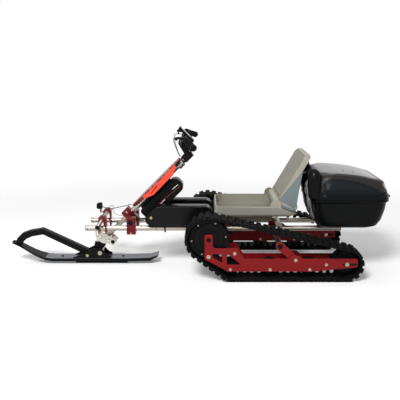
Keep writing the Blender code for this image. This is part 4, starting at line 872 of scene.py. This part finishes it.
class KART_OT_controls(bpy.types.Operator):
    """Finishes the column, stem and handlebar and adds grips, levers and the display"""

    bl_idname = "kart.add_controls"
    bl_label = "Steering and Controls"

    def execute(self, context):
        dress("steering_column", "silver", "paint", choose=lambda c, n: int(column_share(c)[0] > 0.7155),
              width=0.0012)
        dress("ski_link", "bright", "black",
              choose=lambda c, n: int(abs(c.y) <= 0.0205 and c.z < 0.135 and c.x > 0.6), width=0.001)
        dress("handlebar", "paint", "rubber", choose=lambda c, n: int(abs(c.y) > 0.234))
        dress("display", "black", width=0.003, segments=3)

        shape = Shape("rubber", "black", "steel", "crimson")
        for sign in SIDES.values():
            start = Vector((0.06, sign * 0.235, 0.804))
            end = Vector((0.018, sign * 0.365, 0.777))
            way = (end - start).normalized()
            for k in range(22):
                place = facing(start.lerp(end, 0.14 + 0.78 * k / 21), way)
                shape.band(place, 0.0175, 0.0187, 0.0036, 0, 28)
            shape.band(facing(start + way * 0.003, way), 0.0115, 0.02, 0.008, 1, 28)
            shape.turned(facing(end - way * 0.002, way),
                         [(0.018, -0.002), (0.0199, 0.0), (0.0201, 0.008), (0.0186, 0.0125), (0.01, 0.014),
                          (0.006, 0.0136), (0.004, 0.011), (0, 0.011)], 1, 28)
            # lever on its perch, with its ball end
            perch = start - way * 0.026
            shape.band(facing(perch, way), 0.0112, 0.0158, 0.016, 1, 28)
            root = perch + Vector((0.02, 0, 0.004))
            shape.tube([perch + Vector((0.008, 0, 0.001)), root, root + Vector((0.012, sign * 0.002, 0.002))],
                       [0.0095, 0.009, 0.008], 1, 16)
            blade = [root, Vector((0.108, sign * 0.206, 0.813)), Vector((0.118, sign * 0.225, 0.818)),
                     Vector((0.12, sign * 0.27, 0.8215)), Vector((0.1165, sign * 0.316, 0.823)),
                     Vector((0.114, sign * 0.336, 0.8235))]
            thickness = [0.0078, 0.0074, 0.007, 0.0066, 0.0062] + [0.0056] * 13 + [0.0058, 0.0062, 0.0066]
            shape.tube(smooth_route(blade, 4), thickness, 1, 14)
            shape.turned(facing((0.1138, sign * 0.337, 0.8235), (-0.08, sign, 0.0)),
                         [(0.0055, -0.008), (0.0082, -0.005), (0.0092, 0), (0.0082, 0.005), (0.005, 0.0082),
                          (0, 0.0092)], 1, 18)
            shape.bolt(facing(root + Vector((0.002, 0, 0.0085)), (0, 0, 1)), 0.0036, 0.003, 2)
            shape.turned(facing(root + Vector((0.016, -sign * 0.004, 0.003)), (0.85, -sign * 0.5, 0.1)),
                         [(0.0058, -0.006), (0.0058, 0.004), (0.0046, 0.01), (0.003, 0.014), (0, 0.014)], 1, 14)
        # thumb throttle on the right, switch pod on the left
        thumb = [(0.08, -0.206, 0.82), (0.064, -0.214, 0.8215), (0.052, -0.226, 0.81), (0.0465, -0.236, 0.79),
                 (0.044, -0.242, 0.774)]
        shape.tube(smooth_route(thumb, 4), [0.0085] * 4 + [0.0072] * 9 + [0.0064, 0.0066, 0.007, 0.0072], 1, 14)
        shape.slab(top_view(), rounded_box(0.058, -0.214, 0.094, -0.184, 0.005, 3), 0.794, 0.824, 1, 0.0022)
        pod = rounded_box(0.06, 0.176, 0.088, 0.198, 0.005, 3)
        shape.slab(top_view(), pod, 0.798, 0.818, 1, 0.0022)
        shape.turned(facing((0.074, 0.187, 0.8178), (0, 0, 1)),
                     [(0.0052, -0.001), (0.0052, 0.0014), (0.0042, 0.0024), (0, 0.0024)], 3, 18)
        shape.done("grips_and_levers", "steering", width=0.0003)

        stem = Shape("paint", "steel", "black")
        for sign in SIDES.values():
            plate = [(0.728, -0.014), (0.728, 0.014), (0.78, 0.014), (0.78, -0.006), (0.76, -0.014)]
            stem.slab(column_view(0.0185, sign), plate, 0, 0.003, 0, 0.0012)
            for along, behind in ((0.737, 0.002), (0.771, 0.004)):
                stem.bolt(facing(column_point(along, behind, sign * 0.0212), (0, sign, 0)), 0.0038, 0.0034, 2)
            arm = on_side(0.09, 0.0185, 0.756, sign)
            stem.turned(arm, [(0.017, -0.001), (0.017, 0.0016), (0.015, 0.003), (0.006, 0.0034), (0.005, 0.0022),
                              (0, 0.0022)], 2, 28)
        for along in (0.738, 0.771):
            stem.bolt(facing(column_point(along, 0.0165), BEHIND), 0.0046, 0.0058, 1)
        for along, out in ((0.712, 0.0205), (0.7172, 0.019)):
            stem.band(facing(column_point(along, 0), ALONG), 0.0152, out, 0.0038, 2, 36)
        stem.done("stem_trim", "steering")

        face = Shape("black", "screen", "steel", "crimson")
        top = column_top_view(0.852)
        face.slab(top, rounded_box(-0.156, -0.032, -0.042, 0.032, 0.006), -0.0006, 0.0012, 0, 0.0005)
        face.slab(top, rounded_box(-0.15, -0.027, -0.072, 0.027, 0.003), 0.0006, 0.0016, 1, 0.0003)
        for y in (-0.018, 0.0, 0.018):
            face.slab(top, rounded_box(-0.062, y - 0.006, -0.052, y + 0.006, 0.003), 0.0008, 0.0026,
                      3 if y == 0 else 0, 0.0006)
        for behind, y in ((-0.012, 0.018), (-0.012, -0.018), (0.014, 0.018), (0.014, -0.018)):
            face.bolt(facing(column_point(0.786, behind, y), ALONG), 0.0038, 0.0035, 2)
        face.turned(facing((0.114, 0.0, 0.828), (0, 0, 1)),
                    [(0.005, -0.012), (0.005, 0.001), (0.0098, 0.003), (0.0102, 0.012), (0.0086, 0.0155),
                     (0, 0.0165)])
        face.done("display_face", "steering")
        return {"FINISHED"}


class KART_OT_ski(bpy.types.Operator):
    """Finishes the ski, its handle and saddle, and adds their bolts"""

    bl_idname = "kart.finish_ski"
    bl_label = "Ski"

    def execute(self, context):
        dress("ski", "black", "deck", choose=lambda c, n: int(n.z > 0.85 and c.x < 0.97), width=0.0012)
        dress("ski_handle", "black", width=0.005, segments=4)
        dress("ski_saddle", "black", width=0.002, segments=3)
        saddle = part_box("ski_saddle")[1][1]
        shape = Shape("steel", "brass", "black")
        for sign in SIDES.values():
            shape.bolt(on_side(0.6145, saddle, 0.0685, sign), 0.0105, 0.005, 0)
            shape.bolt(on_side(0.695, saddle, 0.052, sign), 0.0072, 0.004, 1)
        for x in (0.473, 0.86):
            shape.bolt(facing((x, 0, 0.0365), (0, 0, 1)), 0.0075, 0.005, 2)
        shape.done("ski_bolts", "ski")

        link = Shape("black")
        for sign in SIDES.values():
            link.turned(on_side(0.53, 0.052, 0.144, sign),
                        [(0.0125, -0.001), (0.0125, 0.0022), (0.011, 0.0034), (0.0045, 0.0036), (0, 0.0026)])
        link.done("link_plugs", "steering")
        return {"FINISHED"}


class KART_OT_belts(bpy.types.Operator):
    """Makes the two rubber belts with their lugs"""

    bl_idname = "kart.make_belts"
    bl_label = "Rubber Belts"

    def execute(self, context):
        for side, sign in SIDES.items():
            add_belt(sign, f"{side}_belt", f"{side}_track")
        return {"FINISHED"}


# Section of the drive disc as radius and height, and the radius of its circle of bolts.
DRIVE_DISC = (
    (0.0202, 0), (0.113, 0), (0.114, 0.001), (0.114, 0.005), (0.1125, 0.0065), (0.108, 0.0065), (0.106, 0.0045),
    (0.093, 0.0045), (0.09, 0.0078), (0.086, 0.0078), (0.0835, 0.003), (0.0625, 0.003), (0.0605, 0.0078),
    (0.0555, 0.0078), (0.053, 0.002), (0.027, 0.002), (0.025, 0.007), (0.0202, 0.007),
)
DISC_BOLTS = 0.0995


class KART_OT_wheels(bpy.types.Operator):
    """Finishes the wheels and adds the drive discs and their bolts"""

    bl_idname = "kart.finish_wheels"
    bl_label = "Wheels and Drive Discs"

    def execute(self, context):
        for side, sign in SIDES.items():
            wheels = [("drive_wheel", "black", DRIVE_HUB, 0.09, 0.0012),
                      ("idler_wheel", "wheel", IDLER_HUB, 0.064, 0.0015)]
            for k, x in enumerate(ROAD_WHEEL_X):
                wheels.append((f"road_wheel_{k + 1}", "wheel", (x, ROAD_WHEEL_Z), 0.041, 0.0012))
            for wheel, use, hub, tyre, width in wheels:
                dress(f"{side}_{wheel}", use, "rubber", width=width,
                      choose=lambda c, n: int(math.hypot(c.x - hub[0], c.z - hub[1]) > tyre))
            shape = Shape("black", "brass")
            disc = on_side(DRIVE_HUB[0], 0.372, DRIVE_HUB[1], sign)
            shape.turned(disc, DRIVE_DISC, 0, 64, looped=True)
            for k in range(6):
                angle = math.radians(7 + 60 * k)
                x = DRIVE_HUB[0] - DISC_BOLTS * math.cos(angle)
                z = DRIVE_HUB[1] + DISC_BOLTS * math.sin(angle)
                shape.bolt(on_side(x, 0.3762, z, sign), 0.0034, 0.004, 1)
            shape.done(f"{side}_drive_disc", "frame")
        return {"FINISHED"}


# The tensioner's slot in the belt plates, which is as high as the idler's bolt.
SLOT_Z = 0.1035
# Bolts of the belt plates as x, z, radius of the head and finish, which is steel or zinc yellow.
PLATE_BOLTS = (
    (-0.069, 0.149, 0.0105, 0), (-0.22, 0.169, 0.009, 0), *((x, ROAD_WHEEL_Z, 0.0078, 0) for x in ROAD_WHEEL_X),
    (-0.573, 0.129, 0.009, 0), (-0.751, 0.102, 0.008, 0), (IDLER_HUB[0], SLOT_Z, 0.01, 1),
)


class KART_OT_plate_bolts(bpy.types.Operator):
    """Adds the bolts, slots and caps of the belt plates and link arms"""

    bl_idname = "kart.add_plate_bolts"
    bl_label = "Belt Plate Bolts"

    def execute(self, context):
        for side, sign in SIDES.items():
            for plate, outward in (("outer", 1), ("inner", -1)):
                low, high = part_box(f"{side}_{plate}_plate")
                reach = (abs(low[1]), abs(high[1]))
                y = max(reach) if outward > 0 else min(reach)
                shape = Shape("steel", "brass", "black")
                way = (0, sign * outward, 0)
                slot = bar_outline((-0.851, SLOT_Z), (-0.92, SLOT_Z), 0.0125)
                place = side_view(y - 0.0002 * outward, sign)
                shape.slab(place, slot, 0 if outward > 0 else -0.0005, 0.0005 if outward > 0 else 0, 2, 0.0001)
                for x, z, radius, use in PLATE_BOLTS:
                    shape.bolt(facing((x, sign * y, z), way), radius * 0.88, 0.0052, use, hole=2)
                shape.turned(facing((DRIVE_HUB[0], sign * y, DRIVE_HUB[1]), way),
                             [(0.013, 0), (0.013, 0.0035), (0.0115, 0.005), (0.005, 0.0052), (0.0045, 0.0035),
                              (0, 0.0035)], 2)
                shape.done(f"{side}_{plate}_bolts", "frame")
            arm_y = max(abs(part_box(f"{side}_link_arm")[k][1]) for k in (0, 1))
            arm = Shape("black")
            arm.turned(on_side(-0.482, arm_y, 0.21, sign),
                       [(0.0138, -0.001), (0.0138, 0.002), (0.0125, 0.0032), (0.004, 0.0034), (0, 0.0026)])
            arm.done(f"{side}_link_cap", "frame")
        return {"FINISHED"}


def back_point(along, forward, y):
    """Point at distances up and forward of the back rest's hinge."""
    return Vector((SEAT_HINGE[0] + BACK_UP[0] * along + BACK_FORWARD[0] * forward, y,
                   SEAT_HINGE[1] + BACK_UP[1] * along + BACK_FORWARD[1] * forward))


class KART_OT_seat(bpy.types.Operator):
    """Finishes the seat and adds its hinge caps, back panel, brackets and skirts"""

    bl_idname = "kart.finish_seat"
    bl_label = "Seat"

    def execute(self, context):
        # The back rest's forward faces get a darker painted shade, and its sides and rear behind the front flange a
        # cooler painted shade; the rest keeps the seat colour.
        def choose(centre, normal):
            forward = (centre.x - SEAT_HINGE[0]) * BACK_FORWARD[0] + (centre.z - SEAT_HINGE[1]) * BACK_FORWARD[1]
            if normal.x > 0.8:
                return 2
            return 1 if forward < -0.037 and (normal.x < -0.1 or abs(normal.y) > 0.7) else 0

        # On the base, the outer walls below the rim get a painted shade, and the bucket's floor and inner walls a
        # darker painted shade.
        def choose_base(centre, normal):
            if abs(normal.y) > 0.6 and normal.y * centre.y > 0 and abs(centre.y) > 0.185 and centre.z < 0.398:
                return 2
            floor = normal.z > 0.5 and centre.z < 0.39
            walls = normal.y * centre.y < -0.05 or (abs(normal.x) > 0.5 and normal.x * (centre.x + 0.355) < 0)
            return 1 if floor or walls else 0

        dress("seat_base", "seat", "seat_panel_shade", "seat_side_shade", choose=choose_base, width=0.003, segments=4, angle=28)
        dress("seat_back", "seat", "seat_shade", "seat_panel_shade", choose=choose, width=0.003, segments=4, angle=28)
        shape = Shape("steel")
        back = Shape("black", "seat")
        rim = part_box("seat_base")[1][1]
        for sign in SIDES.values():
            back.turned(on_side(SEAT_HINGE[0], 0.2105, SEAT_HINGE[1], sign),
                        [(0.01, -0.002), (0.01, 0.0012), (0.0088, 0.0024), (0.0035, 0.0026), (0, 0.0016)], 1)
            shape.bolt(on_side(-0.586, rim - 0.004, 0.396, sign), 0.0048, 0.0035, 0)
        back.done("hinge_caps", "seat_back")
        # A panel flush over the back rest's recess, coloured in the painted shade of its front.
        panel = Shape("seat_panel_shade")
        rows = []
        for forward, inward in ((-0.0176, 0.0), (-0.004, 0.0), (-0.0018, 0.001), (-0.001, 0.0035)):
            line = rounded_box(-0.156 + inward, 0.052 + inward, 0.156 - inward, 0.336 - inward, 0.016, 4)
            rows.append([back_point(along, forward, y) for y, along in line])
        panel.skin(rows, 0)
        panel.done("back_panel", "seat_back")
        shape.done("seat_bolts", "frame")
        # The skirts stand for the shell's rounded belly; the tan of the skirts and their pads is a painted shade of
        # the underside.
        skirt = Shape("seat_under", "seat_shade")
        edge = [(-0.146, 0.3332), (-0.158, 0.31), (-0.186, 0.299), (-0.41, 0.296), (-0.44, 0.303), (-0.466, 0.3332)]
        for sign in SIDES.values():
            skirt.slab(side_view(0.132, sign), edge, 0, 0.02, 0, 0.006)
            for x in (-0.21, -0.31, -0.4):
                pad = rounded_box(x - 0.022, 0.304, x + 0.022, 0.3265, 0.004, 3)
                skirt.slab(side_view(0.1518, sign), pad, 0, 0.0012, 0, 0.0008)
            bracket = rounded_box(-0.6, 0.39, -0.576, 0.419, 0.005, 3)
            skirt.slab(side_view(rim - 0.005, sign), bracket, 0, 0.0042, 1, 0.0012)
        skirt.done("seat_skirts", "frame")
        return {"FINISHED"}


# The lid's outline at rising heights: z, front x, rear x, half width and corner radius.
LID_SECTIONS = (
    (0.4563, -0.686, -1.145, 0.275, 0.085), (0.49, -0.689, -1.138, 0.272, 0.085),
    (0.525, -0.693, -1.125, 0.266, 0.085), (0.588, -0.714, -1.11, 0.24, 0.08), (0.608, -0.752, -1.03, 0.214, 0.07),
)
LID_WALL = 0.0045
# The lid's top slopes down from here over this length, by this much.
TAIL_START, TAIL_LENGTH, TAIL_DROP = -0.752, 0.393, 0.048
# Where the panels' relief begins and the rim ends.
RIM_Z = 0.4835
# Outline of the panel on each side of the lid, as x and z.
LID_PANEL = (
    (-0.738, 0.489), (-0.741, 0.54), (-0.75, 0.562), (-0.766, 0.573), (-0.79, 0.5785), (-0.83, 0.579),
    (-0.9, 0.572), (-0.97, 0.558), (-1.03, 0.538), (-1.07, 0.514), (-1.084, 0.5), (-1.088, 0.489),
)


def panel_depth(x, z):
    """Distance of a point inside the lid's panel, below zero outside it."""
    nearest, inside = 9.0, False
    for (ax, az), (bx, bz) in zip(LID_PANEL, LID_PANEL[1:] + LID_PANEL[:1]):
        if (az > z) != (bz > z) and x < ax + (z - az) * (bx - ax) / (bz - az):
            inside = not inside
        reach = (bx - ax) ** 2 + (bz - az) ** 2
        share = min(1.0, max(0.0, ((x - ax) * (bx - ax) + (z - az) * (bz - az)) / reach))
        nearest = min(nearest, math.hypot(x - ax - share * (bx - ax), z - az - share * (bz - az)))
    return nearest if inside else -nearest


def clamped(value):
    return min(1.0, max(0.0, value))


def smooth_share(value, low, high):
    share = clamped((value - low) / (high - low))
    return share * share * (3 - 2 * share)


def tail_drop(x):
    """How far the lid's top has sloped down at x."""
    return TAIL_DROP * clamped((TAIL_START - x) / TAIL_LENGTH) ** 1.9


def lid_ring(section, inner):
    """Points round the lid at one height, moved inwards by a distance, with the panels' relief."""
    z, front, rear, half, corner = section
    front, rear, half, corner = front - inner, rear + inner, half - inner, max(0.01, corner - inner)
    ring = []
    for sx, sy, start, straight in ((1, 1, 0, 96), (-1, 1, 90, 60), (-1, -1, 180, 96), (1, -1, 270, 60)):
        cx = front - corner if sx > 0 else rear + corner
        cy = sy * (half - corner)
        for i in range(13):
            angle = math.radians(start + 90 * i / 12)
            ring.append((cx + corner * math.cos(angle), cy + corner * math.sin(angle), math.cos(angle),
                         math.sin(angle)))
        angle = math.radians(start + 90)
        after = {0: (rear + corner, half), 90: (rear, corner - half), 180: (front - corner, -half),
                 270: (front, half - corner)}
        first = ring[-1]
        for i in range(1, straight):
            x = first[0] + (after[start][0] - first[0]) * i / straight
            y = first[1] + (after[start][1] - first[1]) * i / straight
            ring.append((x, y, math.cos(angle), math.sin(angle)))
    points = []
    for x, y, nx, ny in ring:
        high = z - tail_drop(x) * clamped((z - 0.525) / 0.083)
        out = 0.0
        if not inner:
            if z < 0.479:
                out = 0.0014
            elif z < RIM_Z:
                out = -0.0012
            if abs(ny) > 0.4 and RIM_Z < high < 0.6:
                depth = panel_depth(x, high)
                if depth > -0.006:
                    groove = 0.0028 * (1 - smooth_share(abs(depth), 0.0, 0.0055))
                    out += (0.0085 * smooth_share(depth, 0.001, 0.032) - groove) * smooth_share(abs(ny), 0.4, 0.9)
        points.append(Vector((x + nx * out, y + ny * out, high)))
    return points


def add_lid():
    """Makes the lid as a hollow moulding with relief on its sides, in place of the plain one."""
    sections = smooth_route(LID_SECTIONS, 12)
    top = sections[-1]
    crown = []
    for i in range(1, 13):
        tuck = 0.196 * i / 12
        rise = 0.0035 * (1 - (1 - i / 12) ** 2)
        crown.append((top[0] + rise, top[1] - tuck * 0.55, top[2] + tuck * 0.55, top[3] - tuck,
                      max(0.012, top[4] - tuck * 0.3)))
    outer = [lid_ring(section, 0.0) for section in [*sections, *crown]]
    hollow = [*sections[::6], *crown[2::4]]
    inner = [lid_ring(section, LID_WALL) for section in hollow]
    for ring, section in zip(inner, hollow):
        drop = LID_WALL * clamped((section[0] - LID_SECTIONS[0][0]) / 0.08)
        for point in ring:
            point.z -= drop
    shape = Shape("case", "case_panel", "bevel", "roof", "reflector")
    shape.skin([*reversed(inner), *outer])
    for face in shape.mesh.faces:
        centre = face.calc_center_median()
        if centre.z > 0.603 - tail_drop(centre.x):
            face.material_index = 3
        elif abs(centre.y) > 0.2 and centre.z > 0.484:
            depth = panel_depth(centre.x, centre.z)
            if depth > 0.001:
                face.material_index = 1
            # Round the panel, the shoulder takes the bevel colour, a painted reflection.
            elif depth > -0.04 and centre.z > 0.5 and centre.x < -0.735:
                face.material_index = 2
        away = math.hypot(centre.x + 1.108, abs(centre.y) - 0.205)
        if 0.516 < centre.z < 0.548 and away < 0.03 and centre.x < -1.085:
            face.material_index = 4
    piece = shape.done("lid_moulding", "case_lid", crease=50)
    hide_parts("case_lid")


class KART_OT_case(bpy.types.Operator):
    """Makes the rear case's lid and adds its corner posts, straps, seams and reflectors"""

    bl_idname = "kart.finish_case"
    bl_label = "Rear Case"

    def execute(self, context):
        dress("case_base", "case", width=0.003, segments=3, angle=28)
        add_lid()
        posts = Shape("case", "reflector")
        for sign in SIDES.values():
            knots = ((-0.704, 0.222, 0.464), (-0.699, 0.221, 0.52), (-0.696, 0.216, 0.58), (-0.699, 0.208, 0.616),
                     (-0.704, 0.202, 0.631))
            spine = smooth_route([(x, sign * y, z) for x, y, z in knots], 5)
            wide = [0.0405 + 0.001 * math.sin(k * 0.3) for k in range(11)]
            wide += [0.0395, 0.038, 0.036, 0.0335, 0.03, 0.026, 0.0215, 0.0165, 0.011, 0.005]
            posts.tube(spine, wide, 0, 40)
            posts.turned(facing((-0.676, sign * 0.243, 0.478), (0.75, sign * 0.66, 0)),
                         [(0.0042, -0.004), (0.0042, 0.0006), (0.0034, 0.0012), (0, 0.0014)], 1, 20)
        posts.done("lid_posts", "case_lid")

        upper = [(-0.69, 0.56), (-0.668, 0.549), (-0.655, 0.529), (-0.663, 0.494), (-0.673, 0.4585), (-0.7, 0.4585),
                 (-0.712, 0.56)]
        lower = [(-0.675, 0.4555), (-0.684, 0.41), (-0.693, 0.36), (-0.706, 0.325), (-0.73, 0.296), (-0.75, 0.296),
                 (-0.735, 0.34), (-0.712, 0.4), (-0.702, 0.4555)]
        for name, body, outline in (("lid_straps", "case_lid", upper), ("base_straps", "frame", lower)):
            strap = Shape("strap", "black", "steel")
            for sign in SIDES.values():
                strap.slab(side_view(0.112, sign), outline, 0, 0.044, 0, 0.003)
                strap.slab(side_view(0.107, sign), [(x - 0.006, z) for x, z in outline], 0, 0.054, 1, 0.002)
            if body == "frame":
                latch = rounded_box(-0.7, 0.432, -0.6715, 0.4535, 0.004, 3)
                for sign in SIDES.values():
                    strap.slab(side_view(0.118, sign), latch, 0, 0.032, 2, 0.0012)
            strap.done(name, body)

        seam = Shape("case")
        rear, front, half, corner = -1.1445, -0.6865, 0.275, 0.085
        for low, high, out in ((0.441, 0.4468, 0.0022), (0.45, 0.4552, 0.0016)):
            lip, sunk = 0.0012, -0.003
            rings = []
            for grown, level in ((sunk, low), (out - lip, low), (out, low + lip), (out, high - lip),
                                 (out - lip, high), (sunk, high)):
                outline = rounded_box(rear - grown, -half - grown, front + grown, half + grown, corner + grown, 14)
                rings.append([Vector((x, y, level)) for x, y in outline])
            seam.skin(rings, 0, looped=True)
        seam.done("case_rim", "frame")
        dots = Shape("black")
        for x in (-0.885, -0.947):
            dots.turned(facing((x, 0.1, 0.6105 - tail_drop(x)), (0, 0, 1)),
                        [(0.005, -0.003), (0.005, 0.001), (0.0038, 0.0018), (0, 0.0018)], 0, 18)
        dots.done("lid_plugs", "case_lid")
        return {"FINISHED"}


MOTOR_CABLE = 0.006


class KART_OT_cables(bpy.types.Operator):
    """Lays the lamp, battery and control cables"""

    bl_idname = "kart.lay_cables"
    bl_label = "Cables"

    def execute(self, context):
        thin = sizes().cable
        add_cable("lamp_cable", "frame", [(0.612, -0.105, 0.338), (0.597, -0.103, 0.331), (0.57, -0.095, 0.327),
                                          (0.538, -0.08, 0.332), (0.49, -0.054, 0.347), (0.442, -0.03, 0.362),
                                          (0.416, -0.016, 0.371)], thin)
        for name, sign, high, use in (("left_lever_cable", 1, 0.0, "strap"),
                                      ("right_lever_cable", -1, -0.01, "paint")):
            knots = ((0.1, 0.188, 0.807 + high), (0.124, 0.164, 0.811 + high), (0.1395, 0.12, 0.806 + high / 2),
                     (0.143, 0.085, 0.796), (0.142, 0.06, 0.78), (0.1365, 0.04, 0.757), (0.1285, 0.026, 0.732),
                     (0.12, 0.018, 0.709), (0.1115, 0.013, 0.69), (0.1035, 0.01, 0.679))
            add_cable(name, "steering", [(x, sign * y, z) for x, y, z in knots], thin, use)
        for name, y, drop in (("motor_cable_1", 0.062, 0.0), ("motor_cable_2", 0.078, 0.01)):
            knots = ((0.408, y * 0.3, 0.334), (0.399, y * 0.55, 0.322 - drop), (0.38, y * 0.8, 0.309 - drop),
                     (0.358, y, 0.3 - drop), (0.336, y + 0.01, 0.3 - drop / 2), (0.317, y + 0.016, 0.305))
            add_cable(name, "frame", knots, MOTOR_CABLE, "paint")
        return {"FINISHED"}


# The soft lamps: place, power and size. The fill is the world's level on the object.
LAMPS = (("key_light", (1.6, 5.0, 5.2), 500.0, 2.2), ("top_light", (-0.6, -2.6, 5.6), 60.0, 3.0))
FILL_LEVEL = 0.28
# What the floor adds to its own light towards the camera.
FLOOR_LIFT = 0.16
# Distances from the middle between which the floor turns into the plain backdrop.
FLOOR_EDGE = (1.7, 3.4)
# The dark shade where the belts press on the floor: axis, middle, reach and soft edge.
CONTACT_SHADE = (("Y", 0.339, 0.068, 0.0025), ("X", -0.535, 0.355, 0.03))
FLOOR_Z = -0.0006
FLOOR_REACH = 30.0
AIM = Vector((-0.1, 0.0, 0.2))
CAMERA_PLACE = (-0.043, 4.06, 1.245)
CAMERA_TILT = 11.73
CAMERA_LENS = 59.4


def shown_directly(nodes):
    """1 for camera, glossy and transmission rays, and 0 for the light that falls on the object."""
    rays = nodes.new("ShaderNodeLightPath").outputs
    total = rays["Is Camera Ray"]
    for ray in ("Is Glossy Ray", "Is Transmission Ray"):
        total = worked(nodes, "ADD", total, rays[ray], use_clamp=True)
    return total


def floor_material():
    """Pale floor that keeps the kart's shadow and turns plain white further out."""
    material = bpy.data.materials.new("floor")
    material.use_nodes = True
    nodes = material.node_tree.nodes
    near = nodes["Principled BSDF"]
    place = nodes.new("ShaderNodeTexCoord").outputs["Object"]
    spot = nodes.new("ShaderNodeSeparateXYZ")
    put(spot.inputs[0], place)
    shares = []
    for axis, middle, reach, soft in CONTACT_SHADE:
        value = spot.outputs[axis]
        if axis == "Y":
            value = worked(nodes, "ABSOLUTE", value)
        off = worked(nodes, "ABSOLUTE", worked(nodes, "SUBTRACT", value, middle))
        shares.append(ranged(nodes, off, reach, reach + soft, 1.0, 0.0))
    shade = worked(nodes, "MULTIPLY", *shares)
    direct = shown_directly(nodes)
    lift = worked(nodes, "MULTIPLY", direct, FLOOR_LIFT)
    for name, value in (
            ("Base Color", mix_colours(nodes, shade, tuple(colours().floor), (0.006, 0.006, 0.006))),
            ("Roughness", 0.9), ("Specular IOR Level", 0.1), ("Emission Color", (1.0, 1.0, 1.0, 1.0)),
            ("Emission Strength", worked(nodes, "MULTIPLY", lift, worked(nodes, "SUBTRACT", 1.0, shade))),
    ):
        put(near.inputs[name], value)
    away = add_node(nodes, "ShaderNodeVectorMath", {0: place}, "Value", operation="LENGTH")
    share = ranged(nodes, away, *FLOOR_EDGE, interpolation_type="SMOOTHSTEP")
    far = add_node(nodes, "ShaderNodeEmission", {"Strength": 1.0})
    both = {"Fac": worked(nodes, "MULTIPLY", share, direct), 1: near.outputs["BSDF"], 2: far}
    put(nodes["Material Output"].inputs["Surface"], add_node(nodes, "ShaderNodeMixShader", both))
    return material


class KART_OT_stage(bpy.types.Operator):
    """Sets the floor, the lights, the world and the camera"""

    bl_idname = "kart.set_stage"
    bl_label = "Studio Stage"

    def execute(self, context):
        data = bpy.data.meshes.new("floor")
        plane = bmesh.new()
        corners = ((-1, -1), (1, -1), (1, 1), (-1, 1))
        plane.faces.new([plane.verts.new((x * FLOOR_REACH, y * FLOOR_REACH, FLOOR_Z)) for x, y in corners])
        plane.to_mesh(data)
        plane.free()
        floor = add_object("floor", data)
        data.materials.append(floor_material())

        world = bpy.data.worlds.new("studio")
        context.scene.world = world
        world.use_nodes = True
        nodes = world.node_tree.nodes
        put(nodes["Background"].inputs["Color"], (1.0, 1.0, 1.0, 1.0))
        put(nodes["Background"].inputs["Strength"], ranged(nodes, shown_directly(nodes), 0.0, 1.0, FILL_LEVEL, 1.0))

        for name, place, energy, size in LAMPS:
            lamp = bpy.data.lights.new(name, "AREA")
            lamp.energy = energy
            lamp.size = size
            light = add_object(name, lamp)
            light.location = place
            light.rotation_euler = (AIM - Vector(place)).to_track_quat("-Z", "Y").to_euler()
            light.visible_camera = False

        lens = bpy.data.cameras.new("camera")
        lens.lens = CAMERA_LENS
        lens.sensor_width = 36.0
        lens.shift_x = -0.01
        camera = add_object("camera", lens)
        camera.location = CAMERA_PLACE
        camera.rotation_euler = (math.radians(90 - CAMERA_TILT), 0.0, math.radians(180))
        context.scene.camera = camera
        context.scene.view_settings.view_transform = "Standard"
        return {"FINISHED"}


class KART_PT_sidebar(bpy.types.Panel):
    """Lists the kart's settings and steps"""

    bl_label = "Snow Go-Kart"
    bl_idname = "KART_PT_sidebar"
    bl_space_type = "VIEW_3D"
    bl_region_type = "UI"
    bl_category = "Go-Kart"

    def draw(self, context):
        layout = self.layout
        for step in STEPS:
            layout.operator(step.bl_idname)
        for group in (context.scene.kart_colours, context.scene.kart_sizes):
            box = layout.box()
            for setting in group.bl_rna.properties:
                if setting.identifier not in ("rna_type", "name"):
                    box.prop(group, setting.identifier)


STEPS = (
    KART_OT_stage, KART_OT_cables, KART_OT_frame, KART_OT_rail_trim, KART_OT_front_trim, KART_OT_batteries,
    KART_OT_cover, KART_OT_controls, KART_OT_ski, KART_OT_belts, KART_OT_wheels, KART_OT_plate_bolts,
    KART_OT_seat, KART_OT_case,
)
CLASSES = (KartColours, KartSizes, *STEPS, KART_PT_sidebar)


def register():
    for kind in CLASSES:
        bpy.utils.register_class(kind)
    bpy.types.Scene.kart_colours = PointerProperty(type=KartColours)
    bpy.types.Scene.kart_sizes = PointerProperty(type=KartSizes)


def unregister():
    del bpy.types.Scene.kart_sizes
    del bpy.types.Scene.kart_colours
    for kind in reversed(CLASSES):
        bpy.utils.unregister_class(kind)


def main():
    """Runs every step in order."""
    register()
    for step in STEPS:
        group, name = step.bl_idname.split(".")
        if getattr(getattr(bpy.ops, group), name)() != {"FINISHED"}:
            raise RuntimeError(f"{step.bl_label} did not finish")


if __name__ == "__main__":
    main()
